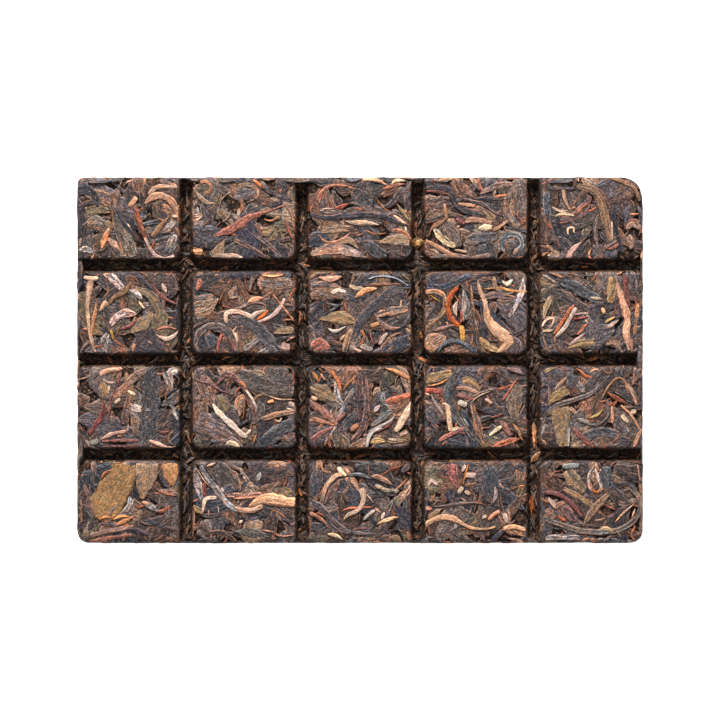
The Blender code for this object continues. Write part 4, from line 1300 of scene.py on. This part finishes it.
# Pale stems
# Stalk and split stalk, peach to cream where the pith shows, pressed flat on the leaf round it.
PEACH = tint(230, 168, 132)
CREAM = tint(226, 184, 152)
PINK = tint(190, 146, 130)
TAN = tint(182, 132, 100)
PALE_STEMS = [(34, TAN), (26, PINK), (24, PEACH), (16, CREAM)]
PLACED_STEMS = {
    "long_stem": (
        tint(196, 156, 142), 0.6, [(145, 237), (150, 248), (156, 256), (165, 259), (175, 256)], TORN_OFF,
    ),
    "long_stem_knob": (PEACH, 0.8, [(130, 207), (134, 202), (137, 197)], TORN_OFF),
    "arch": (
        tint(197, 145, 116), 1.1, [(145, 204), (152, 198), (161, 196), (170, 200), (176, 209), (178, 218)],
        (0.3, 0.9, 1.0, 0.9, 0.8, 0.4),
    ),
    "top_strip": (tint(211, 162, 133), 0.7, [(149, 195), (156, 188), (166, 187), (178, 187)], TORN_OFF),
    "short_strip": (TAN, 0.75, [(153, 237), (161, 226), (170, 216)], TAPERED),
    "chip_tip": (CREAM, 0.35, [(105, 238), (107, 233), (110, 227)]),
    "first_cream": (CREAM, 0.6, [(172, 216), (178, 217)], TORN_OFF),
    "second_crescent": (tint(184, 150, 126), 0.6, [(195, 190), (200, 197), (208, 203), (217, 204)]),
    "second_speck": (CREAM, 0.55, [(239, 208), (239, 219)]),
    "second_low_strip": (tint(199, 162, 140), 0.85, [(213, 255), (228, 256), (243, 259)], TORN_OFF),
    "third_cream": (CREAM, 0.72, [(345, 221), (355, 223), (367, 223), (379, 225)], (0.3, 1.0, 1.0, 0.2)),
    "third_top": (PEACH, 0.65, [(362, 179), (375, 180), (390, 187)], TAPERED),
    "third_top_two": (tint(211, 168, 133), 0.6, [(390, 185), (396, 181), (406, 181)]),
    "third_pink": (tint(223, 174, 142), 0.55, [(392, 214), (399, 220), (407, 225)]),
    "third_olive_strip": (tint(156, 130, 94), 0.5, [(396, 203), (402, 212), (410, 223)]),
    "fourth_stem": (tint(207, 147, 110), 0.5, [(443, 203), (446, 219)], TORN_OFF),
    "fourth_stem_foot": (tint(164, 118, 90), 0.55, [(446, 218), (440, 223), (431, 228)], TORN_OFF),
    "fourth_chip": (tint(240, 210, 172), 0.95, [(477, 229), (484, 228), (491, 227)], (0.4, 1.0, 0.8)),
    "fourth_thin": (tint(209, 153, 116), 0.5, [(456, 204), (475, 206)], TORN_OFF),
    "fourth_rod": (tint(192, 142, 116), 0.85, [(464, 221), (476, 220), (491, 224)], TORN_OFF),
    "fourth_tan": (tint(190, 140, 110), 0.5, [(491, 231), (500, 226), (507, 220)], TORN_OFF),
    "fourth_top_bark": (tint(192, 142, 104), 0.65, [(435, 182), (448, 178), (462, 178)]),
    "fourth_strip": (tint(199, 145, 114), 0.65, [(424, 240), (437, 247), (450, 254), (459, 257)], TORN_OFF),
    "fourth_low_cream": (CREAM, 0.4, [(454, 250), (466, 252)], TORN_OFF),
    "fourth_pink_bit": (tint(196, 150, 136), 0.7, [(513, 255), (517, 249)], TORN_OFF),
    "fifth_cream": (tint(234, 197, 155), 0.5, [(552, 217), (562, 214), (575, 216)]),
    "fifth_cream_two": (CREAM, 0.45, [(550, 206), (558, 211), (568, 211)]),
    "fifth_upright": (tint(205, 160, 133), 0.7, [(562, 188), (564, 200), (570, 212)], TAPERED),
    "fifth_pink": (tint(198, 154, 140), 0.9, [(566, 259), (572, 250), (581, 241)], TAPERED),
    "fifth_cream_three": (CREAM, 0.4, [(610, 221), (611, 241)], TORN_OFF),
    "fifth_curl": (CREAM, 0.35, [(567, 235), (567, 229), (572, 228), (573, 234)], TORN_OFF),
    "fifth_corner": (
        tint(150, 112, 88), 0.6, [(592, 179), (606, 177), (619, 181), (633, 189), (638, 201)], TORN_OFF,
    ),
    "forked_stem": (
        tint(219, 172, 142), 0.95, [(92, 276), (90, 290), (88, 305), (89, 320), (91, 336), (96, 352)],
        (1.0, 0.9, 0.6, 0.65, 0.6, 0.3),
    ),
    "forked_head": (tint(229, 187, 157), 0.8, [(84, 277), (92, 279), (99, 278)], TORN_OFF),
    "inner_knob": (tint(196, 140, 112), 0.7, [(133, 351), (135, 343)], TORN_OFF),
    "inner_chip": (tint(234, 176, 138), 1.0, [(100, 312), (104, 305), (108, 302)], (0.1, 0.8, 0.8)),
    "inner_cream": (CREAM, 0.4, [(139, 301), (145, 309)], TORN_OFF),
    "inner_brown": (tint(138, 102, 77), 0.7, [(132, 281), (125, 292), (115, 297), (110, 304)], TORN_OFF),
    "inner_gold": (tint(199, 145, 67), 0.4, [(111, 329), (114, 339)], TORN_OFF),
    "inner_crescent": (tint(234, 195, 172), 0.65, [(156, 334), (166, 339), (174, 336), (179, 330)]),
    "edge_tan": (tint(192, 158, 142), 0.8, [(162, 283), (167, 293)]),
    "pale_curve": (
        tint(219, 178, 155), 0.75, [(227, 323), (226, 315), (232, 311), (243, 313), (254, 318)], TORN_OFF,
    ),
    "pale_heart": (tint(236, 197, 170), 0.75, [(250, 319), (257, 313), (267, 310)], TAPERED),
    "pale_pod": (tint(229, 155, 118), 0.75, [(247, 302), (256, 299), (264, 297)]),
    "pale_curve_tail": (
        tint(196, 160, 150), 0.6, [(257, 322), (270, 317), (279, 309), (285, 298)], TORN_OFF,
    ),
    "pale_spot": (CREAM, 0.7, [(236, 332), (238, 343)], TAPERED),
    "pale_bar": (CREAM, 0.35, [(229, 298), (239, 297)]),
    "pale_low": (tint(176, 140, 126), 1.1, [(281, 347), (290, 347)], TORN_OFF),
    "second_top_line": (tint(221, 151, 105), 0.4, [(261, 275), (274, 276), (286, 274)]),
    "peach_cap": (tint(227, 168, 137), 0.85, [(317, 277), (330, 279), (342, 276)]),
    "white_crescent": (tint(248, 218, 198), 0.5, [(326, 327), (335, 331), (346, 326)]),
    "pale_chip": (tint(238, 208, 189), 0.65, [(330, 294), (337, 290), (346, 292)], TORN_OFF),
    "pale_chip_two": (CREAM, 0.6, [(349, 285), (355, 288), (363, 289)], TORN_OFF),
    "pale_chip_three": (tint(229, 164, 114), 0.7, [(370, 326), (379, 323)], TORN_OFF),
    "pale_chip_four": (tint(225, 189, 170), 0.55, [(378, 344), (384, 336), (387, 333)], TORN_OFF),
    "pale_chip_five": (CREAM, 0.35, [(340, 341), (345, 334)]),
    "pale_crumple": (tint(172, 152, 137), 0.8, [(360, 345), (372, 350)], TORN_OFF),
    "blue_line": (tint(172, 172, 182), 0.25, [(367, 279), (379, 276), (395, 278), (408, 286)], TORN_OFF),
    "lens_light": (tint(223, 187, 165), 0.6, [(457, 300), (454, 308), (456, 317)]),
    "pith": (tint(205, 145, 73), 0.8, [(461, 325), (462, 341)], (1.0, 0.9, 0.9)),
    "peach_stem": (
        tint(244, 186, 148), 1.35,
        [(477, 279), (479, 290), (484, 302), (486, 316), (491, 326), (500, 335), (511, 341)],
        (0.15, 0.4, 0.5, 0.7, 0.9, 1.0, 1.0, 0.9),
    ),
    "peach_fold": (tint(246, 190, 154), 0.85, [(492, 321), (498, 328), (508, 335)], TORN_OFF),
    "peach_foot": (tint(238, 178, 140), 1.2, [(512, 340), (505, 346), (495, 354)], TAPERED),
    "river_gold": (tint(201, 147, 62), 0.2, [(429, 295), (440, 302)], TORN_OFF),
    "right_stem": (
        tint(232, 170, 136), 1.1,
        [(615, 282), (618, 292), (622, 303), (625, 313), (626, 323), (625, 334), (628, 346)],
        (0.5, 0.7, 1.0, 1.0, 0.95, 1.0, 0.8),
    ),
    "right_stem_foot": (tint(215, 159, 135), 0.65, [(627, 330), (626, 340), (628, 350)], TORN_OFF),
    "right_cream_line": (tint(225, 189, 170), 0.35, [(540, 274), (549, 279), (555, 283)], TORN_OFF),
    "right_hook": (tint(229, 191, 165), 0.4, [(540, 327), (546, 319), (553, 319), (550, 327)], TORN_OFF),
    "right_bar": (tint(211, 178, 137), 0.4, [(541, 331), (552, 330)], TORN_OFF),
    "red_white_side": (tint(215, 181, 163), 0.65, [(555, 337), (565, 325), (575, 307)], TORN_OFF),
    "red_bar_white": (tint(217, 178, 159), 0.28, [(572, 314), (587, 313)], TORN_OFF),
    "right_pink": (tint(198, 158, 147), 0.55, [(566, 346), (576, 339), (585, 332)]),
    "right_chip": (tint(234, 197, 165), 0.5, [(588, 297), (601, 299)]),
    "right_chip_two": (tint(215, 168, 113), 0.45, [(603, 323), (609, 319), (615, 316)]),
    "right_chip_three": (tint(186, 158, 147), 0.55, [(604, 329), (611, 324), (618, 319)]),
    "right_chip_four": (tint(232, 172, 131), 0.5, [(601, 307), (603, 314)], TORN_OFF),
    "right_edge_line": (tint(203, 145, 114), 0.4, [(630, 338), (631, 351)], TORN_OFF),
    "cream_chip": (tint(240, 206, 174), 0.45, [(128, 390), (136, 395)], TORN_OFF),
    "cream_chip_two": (CREAM, 0.5, [(115, 403), (121, 398)], TORN_OFF),
    "cream_chip_three": (CREAM, 0.45, [(108, 393), (110, 385)], TORN_OFF),
    "tan_curve": (
        tint(221, 170, 144), 0.65, [(101, 439), (110, 434), (119, 432), (127, 430), (129, 423)],
        (0.3, 1.0, 0.8, 0.6, 0.3),
    ),
    "peach_leaf": (tint(227, 168, 137), 0.95, [(100, 374), (110, 370), (123, 367)], TORN_OFF),
    "peach_leaf_edge": (tint(240, 197, 168), 0.35, [(103, 378), (108, 382), (114, 382)], TORN_OFF),
    "low_stem": (tint(205, 160, 138), 0.65, [(149, 440), (158, 443), (168, 447), (180, 447)], TAPERED),
    "left_silver": (tint(156, 145, 134), 0.9, [(90, 442), (99, 440)], TORN_OFF),
    "white_stem": (
        tint(252, 218, 192), 0.85, [(213, 403), (217, 410), (226, 419), (236, 428), (243, 434), (248, 435)],
        (0.4, 0.9, 1.0, 1.0, 1.0, 0.8),
    ),
    "white_stem_hook": (tint(240, 204, 178), 0.5, [(246, 435), (251, 429)], TORN_OFF),
    "cream_triangle": (tint(242, 206, 166), 0.75, [(225, 445), (232, 442), (240, 447)]),
    "second_cream_line": (tint(196, 174, 158), 0.42, [(245, 389), (252, 398), (257, 409)], TORN_OFF),
    "second_chip": (tint(221, 139, 99), 0.5, [(267, 402), (274, 400)], TORN_OFF),
    "second_right_cream": (tint(203, 168, 146), 0.8, [(288, 402), (295, 407)], TORN_OFF),
    "second_v": (tint(236, 197, 168), 0.3, [(275, 419), (279, 421), (282, 417)], TORN_OFF),
    "second_low_orange": (tint(203, 126, 79), 0.3, [(253, 444), (257, 432)]),
    "yellow_chip": (tint(223, 149, 84), 0.55, [(312, 371), (318, 381)]),
    "peach_tick": (tint(213, 155, 123), 0.3, [(320, 373), (325, 380)], TORN_OFF),
    "fan_cream": (tint(238, 181, 148), 0.6, [(311, 396), (317, 399)], TORN_OFF),
    "fan_triangle": (tint(176, 120, 89), 0.7, [(350, 430), (358, 424)], TORN_OFF),
    "centre_cream": (
        tint(244, 199, 166), 1.15, [(395, 431), (401, 421), (408, 409), (412, 401)], (0.6, 1.0, 0.9, 0.4),
    ),
    "centre_line": (tint(207, 189, 175), 0.42, [(370, 429), (380, 426), (390, 420), (397, 411)]),
    "centre_curve": (tint(196, 180, 170), 0.6, [(366, 447), (368, 437), (373, 430), (382, 426)], TORN_OFF),
    "centre_oval": (tint(225, 185, 172), 0.6, [(373, 412), (380, 404)]),
    "centre_peach": (tint(215, 145, 99), 0.75, [(383, 367), (395, 371), (410, 378)], (0.2, 1.0, 0.7)),
    "centre_white": (tint(238, 199, 161), 0.5, [(387, 438), (397, 440)]),
    "centre_knot": (tint(209, 160, 137), 0.6, [(399, 435), (407, 431)], TORN_OFF),
    "thin_pale": (tint(198, 168, 154), 0.45, [(430, 392), (434, 402), (441, 411), (443, 418)]),
    "bent_stem": (
        tint(248, 199, 161), 0.8, [(441, 403), (446, 405), (448, 413), (449, 423), (450, 431)],
        (0.5, 0.9, 0.9, 0.8, 1.0),
    ),
    "bent_stem_foot": (tint(244, 199, 163), 0.55, [(450, 430), (459, 427)], TORN_OFF),
    "peach_band": (tint(215, 160, 133), 0.65, [(455, 388), (466, 388), (477, 393)], TORN_OFF),
    "white_triangle": (tint(203, 184, 166), 0.8, [(457, 401), (466, 405)], TORN_OFF),
    "striped_edge": (tint(201, 170, 142), 0.22, [(468, 404), (479, 395), (492, 390)]),
    "river_side": (tint(170, 166, 158), 0.3, [(462, 417), (468, 426)], TORN_OFF),
    "small_stripes": (tint(234, 185, 157), 0.5, [(484, 398), (491, 403)], TORN_OFF),
    "slanting_chip": (tint(248, 218, 172), 0.55, [(488, 435), (494, 430), (501, 426)], TORN_OFF),
    "high_pink": (tint(138, 108, 102), 0.8, [(504, 367), (516, 370), (524, 375)]),
    "right_point": (tint(215, 170, 144), 0.6, [(553, 391), (559, 384), (566, 376)]),
    "right_silver": (tint(184, 173, 162), 0.35, [(568, 427), (567, 446)], TORN_OFF),
    "right_small": (tint(229, 172, 140), 0.45, [(569, 407), (575, 413)], TORN_OFF),
    "right_grey": (tint(166, 150, 139), 0.5, [(574, 418), (582, 420), (590, 424)]),
    "swirl": (tint(192, 162, 108), 0.4, [(586, 418), (597, 414), (602, 407)]),
    "swirl_line": (tint(126, 112, 104), 0.4, [(580, 421), (596, 424), (607, 414), (606, 400)], TORN_OFF),
    "right_cream": (tint(238, 199, 166), 0.6, [(620, 414), (627, 422)], TORN_OFF),
    "right_cream_two": (tint(225, 189, 157), 0.75, [(629, 412), (635, 411)], TORN_OFF),
    "right_peach_line": (tint(205, 145, 108), 0.4, [(619, 404), (630, 415), (639, 430)], TORN_OFF),
    "right_peach": (tint(219, 156, 123), 0.65, [(631, 448), (635, 440), (640, 428)]),
    "under_gold": (tint(225, 145, 92), 0.45, [(99, 519), (106, 516), (113, 517)]),
    "under_gold_two": (tint(225, 149, 97), 0.45, [(113, 519), (122, 515), (132, 517)]),
    "under_gold_three": (tint(227, 151, 101), 0.6, [(114, 526), (124, 521), (135, 515)]),
    "front_left": (tint(178, 134, 116), 0.7, [(91, 535), (110, 530), (134, 526)], TORN_OFF),
    "gold_side_chip": (tint(223, 157, 125), 0.5, [(142, 501), (150, 504)], TORN_OFF),
    "front_long_end": (tint(209, 160, 134), 0.8, [(234, 507), (249, 510), (263, 505)], TORN_OFF),
    "long_peach": (
        tint(252, 186, 142), 1.65, [(249, 506), (257, 501), (267, 498), (281, 500), (298, 502)],
        (0.2, 0.65, 1.0, 1.0, 0.85, 0.8),
    ),
    "front_outline": (tint(209, 156, 123), 0.22, [(194, 463), (203, 478), (213, 489)]),
    "front_hook": (tint(244, 199, 171), 0.6, [(202, 512), (204, 504), (207, 498), (217, 497)], TORN_OFF),
    "front_high": (tint(229, 181, 150), 0.4, [(206, 466), (217, 461)]),
    "front_white": (tint(229, 195, 178), 0.4, [(221, 486), (225, 492)]),
    "front_drop": (tint(223, 195, 181), 0.5, [(239, 523), (243, 519)]),
    "peach_arc": (
        tint(225, 174, 142), 0.7, [(323, 501), (324, 490), (329, 481), (336, 475), (344, 473)],
        (0.1, 0.8, 1.0, 1.0, 0.9),
    ),
    "peach_knob": (tint(244, 208, 176), 0.7, [(346, 475), (341, 471), (338, 466)], TORN_OFF),
    "cream_hook": (
        tint(229, 187, 159), 0.9, [(361, 487), (363, 495), (362, 503), (356, 510), (348, 514), (343, 519)],
        (1.0, 0.9, 0.75, 0.7, 0.6, 0.2),
    ),
    "cream_leg": (tint(217, 178, 153), 0.3, [(365, 492), (370, 498), (374, 503)]),
    "cream_knot": (tint(211, 191, 178), 0.5, [(363, 519), (368, 514), (375, 509)], TORN_OFF),
    "front_lens": (tint(244, 204, 172), 0.55, [(381, 519), (384, 511)]),
    "front_peach": (tint(234, 180, 138), 0.55, [(375, 524), (384, 520), (392, 517), (399, 516)]),
    "front_silver": (tint(166, 162, 162), 0.25, [(393, 497), (390, 508), (384, 518)]),
    "front_cream": (tint(238, 199, 157), 0.6, [(326, 533), (335, 534), (343, 539)]),
    "wavy_stem": (
        tint(234, 176, 135), 0.95,
        [(424, 525), (433, 519), (443, 516), (453, 518), (462, 523), (471, 527), (483, 528), (495, 526)],
        (0.6, 0.8, 0.95, 1.0, 0.6, 0.4, 0.35, 0.3),
    ),
    "wavy_left": (tint(215, 175, 157), 0.65, [(427, 485), (431, 480), (437, 484)], TORN_OFF),
    "wavy_pink_left": (tint(217, 143, 116), 0.5, [(424, 507), (431, 508)], TORN_OFF),
    "wavy_chip": (tint(225, 189, 172), 0.5, [(461, 471), (465, 464)], TORN_OFF),
    "wavy_square": (tint(234, 189, 171), 0.85, [(465, 474), (475, 475)], (1.0, 1.0, 1.0)),
    "wavy_chip_two": (tint(215, 181, 151), 0.65, [(458, 493), (462, 486)], TORN_OFF),
    "wavy_chip_three": (tint(219, 174, 151), 0.6, [(464, 490), (469, 494)], TORN_OFF),
    "wavy_upright": (tint(184, 153, 148), 0.65, [(494, 485), (495, 494), (492, 503)]),
    "wavy_chip_four": (tint(225, 151, 123), 0.6, [(487, 519), (493, 514), (499, 510)], TORN_OFF),
    "wavy_chip_five": (tint(229, 189, 165), 0.5, [(481, 517), (486, 515)], TORN_OFF),
    "wavy_right": (tint(230, 189, 166), 0.7, [(503, 512), (506, 522)], TORN_OFF),
    "last_peach": (tint(238, 175, 133), 0.75, [(502, 528), (512, 526), (525, 529)], TORN_OFF),
    "last_low_peach": (tint(219, 170, 140), 0.45, [(506, 537), (515, 539), (525, 543)]),
    "pale_loop_chip": (tint(215, 180, 157), 0.8, [(547, 496), (551, 502), (555, 508)]),
    "loop_bend": (tint(219, 132, 79), 0.4, [(589, 482), (592, 490), (597, 491), (600, 486)], TORN_OFF),
    "last_white": (tint(154, 148, 142), 0.8, [(561, 466), (578, 465)], TORN_OFF),
    "last_cream": (tint(227, 185, 138), 0.6, [(599, 527), (606, 528), (611, 531)], TORN_OFF),
    "last_edge": (tint(203, 143, 116), 0.3, [(636, 464), (639, 481)], TORN_OFF),
    "last_tick": (tint(219, 168, 137), 0.3, [(630, 518), (634, 507)]),
}
pale_finish = leaf_finish(
    "pale_stem", streaks=2.4, netting=1.2, grains=2.0, warmth=0.8, lines=0.1, edges=0.1, creases=0.35,
    gloss=0.1, rim=0.07,
)
pale = Spread(17, step=0.5 * MM)
pale.scatter(
    count=120, start=20000, half_widths=(0.16, 0.4), lengths=(1.2, 4.5), levels=(-0.06, 0.08),
    thicks=(0.12, 0.18), palette=PALE_STEMS, bend=1.0, wander=0.9,
)
pale.place(PLACED_STEMS, level=0.2, thick=0.18)
press("pale_stems", pale, pale_finish, points_across=6, crown=4.5, ridge_height=0.03 * MM, ragged=0.6)


# Groove leaves
# Small dark leaf and stalk, crushed along the floor of the grooves by the mould's bars. Four larger
# bits were placed on the photograph, the rest lie at random.
GROOVE_LEAVES = [
    (34, tint(76, 64, 56)),
    (30, tint(60, 51, 47)),
    (18, tint(98, 76, 60)),
    (8, tint(150, 96, 60)),
    (10, tint(88, 82, 76)),
]
PLACED_IN_GROOVES = {
    "tan_leaf": (tint(230, 160, 110), 0.75, [(533, 421), (534, 434), (534, 447)]),
    "crossing_leaf": (tint(230, 160, 110), 0.8, [(530, 463), (535, 457), (540, 450)]),
    "orange_leaf": (tint(220, 120, 60), 0.7, [(531, 493), (531, 513)]),
    "crossing_olive": (tint(190, 150, 96), 1.4, [(410, 244), (424, 241)]),
}
STRAY = 0.8  # in mm, like the next four: how far a leaf strays from the middle of its groove
GROOVE_LENGTHS = (1.2, 4.6)
GROOVE_HALF_WIDTHS = (0.22, 0.62)
GROOVE_LEVELS = (-0.2, 0.05)
GROOVE_THICK = 0.15
ACROSS_GROOVE = 0.5  # how far from the groove's own way a leaf points, in radians


def along_grooves(spread, count, palette):
    """Small leaves laid at random along every groove, most of them lying along it."""
    draw = spread.draw
    lines = [(number * COLUMN_PITCH - FAR_COLUMN + COLUMN_PITCH / 2, None) for number in range(COLUMNS - 1)]
    lines += [(None, number * ROW_PITCH - FAR_ROW + ROW_PITCH / 2) for number in range(ROWS - 1)]
    lengths = [WIDTH if y is None else LENGTH for _, y in lines]
    for _ in range(count):
        (line_x, line_y), size = draw.choices(list(zip(lines, lengths)), lengths)[0]
        along = draw.uniform(-size / 2, size / 2)
        aside = draw.gauss(0.0, STRAY) * MM
        x, y = (line_x + aside, along) if line_y is None else (along, line_y + aside)
        heading = (math.pi / 2 if line_y is None else 0.0) + draw.gauss(0.0, ACROSS_GROOVE)
        length = draw.uniform(*GROOVE_LENGTHS) * MM
        route = bent_route(x, y, heading, length, draw.gauss(0.0, 0.5), 0.0, spread.step)
        colour = varied(draw, draw.choices([c for _, c in palette], [w for w, _ in palette])[0])
        half_width = draw.uniform(*GROOVE_HALF_WIDTHS) * MM
        level = draw.uniform(*GROOVE_LEVELS) * MM
        spread.lay(route, half_width, level, GROOVE_THICK * MM, colour)


groove_finish = leaf_finish("groove_leaf", streaks=5.0, netting=4.0, lines=0.5, gloss=0.2, rim=0.08)
grooved = Spread(18, step=0.6 * MM)
along_grooves(grooved, count=860, palette=GROOVE_LEAVES)
grooved.place(PLACED_IN_GROOVES, level=0.2, thick=0.25)
press("groove_leaves", grooved, groove_finish, points_across=5, crown=4.0, kept_on_block=0.0)


# Side leaves
# The mould's side presses leaf flat against the four sides too. The photograph doesn't show them:
# this leaf is of the top's kinds, lying mostly level at random.
SIDE_MARGIN = 0.4 * MM
SIDE_TOP_MARGIN = 0.5 * MM
SIDE_SLOPE = 0.22
SIDE_THICK = 0.24 * MM


def outline_walk(distance):
    """The place and outward way on the rounded outline, that far round from its front left corner."""
    here = Vector((CORNER_RADII[(-1, -1)] - LENGTH / 2, -WIDTH / 2))
    while True:
        for quarter, (side_x, side_y) in enumerate([(1, -1), (1, 1), (-1, 1), (-1, -1)]):
            radius = CORNER_RADII[(side_x, side_y)]
            middle = Vector((side_x * (LENGTH / 2 - radius), side_y * (WIDTH / 2 - radius)))
            turn = (quarter - 1) * math.pi / 2
            out = Vector((math.cos(turn), math.sin(turn)))
            straight = (middle + out * radius - here).length
            if distance <= straight:
                return here.lerp(middle + out * radius, distance / straight), out
            distance -= straight
            if distance <= radius * math.pi / 2:
                turn += distance / radius
                out = Vector((math.cos(turn), math.sin(turn)))
                return middle + out * radius, out
            distance -= radius * math.pi / 2
            here = middle + Vector((math.cos(turn + math.pi / 2), math.sin(turn + math.pi / 2))) * radius


def round_the_side(spread, count, palette, half_widths, lengths, levels):
    """Leaves laid round the side wall, each mostly level."""
    draw = spread.draw
    perimeter = 2 * (LENGTH + WIDTH)
    for number in range(count):
        start = (number / PLASTIC_NUMBER % 1) * perimeter
        half_width = draw.uniform(*half_widths) * MM
        length = draw.uniform(*lengths) * MM
        height = draw.uniform(0.6 * half_width, THICKNESS - SIDE_MARGIN - 0.6 * half_width)
        slope = draw.gauss(0.0, SIDE_SLOPE)
        steps = max(4, round(length / spread.step))
        route = []
        outs = []
        for step in range(steps + 1):
            along = length * (step / steps - 0.5)
            spot, out = outline_walk(start + perimeter + along)
            level = min(max(height + slope * along, SIDE_MARGIN), THICKNESS - SIDE_TOP_MARGIN)
            route.append((spot.x, spot.y, level))
            outs.append((out.x, out.y, 0.0))
        colour = varied(draw, draw.choices([c for _, c in palette], [w for w, _ in palette])[0])
        spread.lay(route, half_width, draw.uniform(*levels) * MM, SIDE_THICK, colour, outs=outs)


sides = Spread(19, step=1.1 * MM)
round_the_side(
    sides, count=330, palette=SLATE_LEAVES + BROWN_LEAVES,
    half_widths=(0.8, 2.2), lengths=(6, 15), levels=(-0.16, 0.0),
)
round_the_side(
    sides, count=240, palette=FOLDED_LEAVES + TWISTED_LEAVES,
    half_widths=(0.5, 1.0), lengths=(5, 13), levels=(-0.05, 0.08),
)
round_the_side(
    sides, count=260, palette=RUSTY_STRIPS + PALE_STEMS,
    half_widths=(0.2, 0.5), lengths=(2, 6), levels=(0.0, 0.12),
)
press("side_leaves", sides, brown_finish, "wall", points_across=7, crown=6.0, ragged=0.4)


# Underside leaves
# The mould's plain floor presses the underside flat, with no grooves. The photograph doesn't show
# it: this leaf is of the top's kinds, at random.
under = Spread(20, step=1.3 * MM)
under.scatter(
    count=280, start=30000, half_widths=(1.5, 3.8), lengths=(7, 16), levels=(-0.12, 0.0),
    thicks=(0.2, 0.3), palette=SLATE_LEAVES + BROWN_LEAVES, bend=0.7, wander=0.8,
)
under.scatter(
    count=190, start=33000, half_widths=(0.6, 1.3), lengths=(5, 13), levels=(-0.04, 0.08),
    thicks=(0.2, 0.3), palette=FOLDED_LEAVES + TWISTED_LEAVES, bend=0.9, wander=0.6,
)
under.scatter(
    count=200, start=36000, half_widths=(0.2, 0.5), lengths=(2, 6), levels=(0.0, 0.12),
    thicks=(0.15, 0.2), palette=RUSTY_STRIPS + PALE_STEMS, bend=1.0, wander=0.8,
)
press("underside_leaves", under, slate_finish, "underside", points_across=7, crown=7.0, ragged=0.45)


# Crumbs
# Broken bits of leaf and stalk, thrown at random over the pressed mass, fill the gaps between the
# leaves and the floors of the grooves.
CRUMBS_PER_SQUARE_METRE = 180000.0
CRUMB_SEED = 5
CRUMB_LEAST = (0.14 * MM, 0.1 * MM, 0.06 * MM)
CRUMB_MOST = (0.5 * MM, 0.26 * MM, 0.14 * MM)


def crumb_tree():
    inputs = [
        ("Crumbs per square metre", "NodeSocketFloat", CRUMBS_PER_SQUARE_METRE),
        ("Seed", "NodeSocketInt", CRUMB_SEED),
        ("Material", "NodeSocketMaterial", None),
    ]
    nodes, given = geometry_tree("crumbs", inputs)
    facing = nodes.split(nodes.add("GeometryNodeInputNormal"))[2]
    strewn = nodes.add(
        "GeometryNodeDistributePointsOnFaces", {"distribute_method": "RANDOM"},
        {"Mesh": given, "Selection": facing.over(0.1), "Density": given.outlet("Crumbs per square metre"),
         "Seed": given.outlet("Seed")},
    )
    number = {"data_type": "FLOAT"}
    shade = nodes.add("FunctionNodeRandomValue", number, {2: 0.0, 3: 1.0, "Seed": 2}, outlet=1)
    stops = [
        (0.0, tint(40, 32, 28)),
        (0.45, tint(84, 62, 50)),
        (0.7, tint(130, 84, 56)),
        (0.9, tint(190, 140, 104)),
    ]
    colour = nodes.add("ShaderNodeValToRGB", {"stops": stops}, [shade])
    coloured = nodes.stored(strewn, "leaf_colour", colour, "FLOAT_COLOR")
    bit = nodes.add("GeometryNodeMeshIcoSphere", feeds={"Radius": 1.0, "Subdivisions": 1})
    size = nodes.add(
        "FunctionNodeRandomValue", {"data_type": "FLOAT_VECTOR"},
        {0: CRUMB_LEAST, 1: CRUMB_MOST, "Seed": 3},
    )
    turn = nodes.add("FunctionNodeRandomValue", number, {2: 0.0, 3: math.tau, "Seed": 4}, outlet=1)
    turned = nodes.add(
        "FunctionNodeRotateRotation", {"rotation_space": "LOCAL"},
        [strewn.outlet("Rotation"), nodes.joined(0.0, 0.0, turn)],
    )
    bits = nodes.add(
        "GeometryNodeInstanceOnPoints",
        feeds={"Points": coloured, "Instance": bit, "Rotation": turned, "Scale": size},
    )
    nodes.close(bits, given.outlet("Material"))
    return nodes.tree


def crumb_finish():
    """Broken leaf in its own colour, grainy, and darker the lower it lies: painted shade in the grooves."""
    made, nodes, shader = new_finish("crumbs")
    own_colour = nodes.add("ShaderNodeAttribute", {"attribute_name": "leaf_colour"})
    place = nodes.add("ShaderNodeTexCoord", outlet="Object")
    grain = nodes.noise(place, 3000.0, detail=2.0)
    light = grain.ramped(0.3, 0.7) * 0.9 + 0.4
    colour = nodes.blend(1.0, own_colour, nodes.joined(light, light, light), "MULTIPLY")
    # Painted shade: the lower a crumb lies, the darker it is, so crumbs down in the grooves are dark.
    _, _, height = nodes.split(place)
    painted_light_colour = nodes.scaled(colour, height.ramped(3.5 * MM, 8.0 * MM) * 0.6 + 0.4)
    dress(nodes, shader, base_color=painted_light_colour, roughness=0.8, specular_ior_level=0.2)
    return made


crumbs = plain_piece("crumbs", mass.data, crumb_tree(), {"Material": crumb_finish()})
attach(crumbs, "root")


# The table
# A white sheet lit from below, as for a catalogue picture, so the brick throws no shadow on it.
TABLE_SIZE = 6.0
TABLE_GLOW = 0.9
WHITE = (1.0, 1.0, 1.0, 1.0)


def table_finish():
    made, nodes, shader = new_finish("white_table")
    place = nodes.add("ShaderNodeTexCoord", outlet="Object")
    soft = nodes.noise(place, 3.0, detail=1.0)
    colour = nodes.blend(soft, (0.9, 0.9, 0.9, 1.0), (0.92, 0.92, 0.92, 1.0))
    dress(nodes, shader, base_color=colour, roughness=0.9, specular_ior_level=0.1)
    dress(nodes, shader, emission_color=WHITE, emission_strength=TABLE_GLOW)
    return made


bpy.ops.mesh.primitive_plane_add(size=TABLE_SIZE)
table = bpy.context.object
table.name = "table"
table.data.materials.append(table_finish())
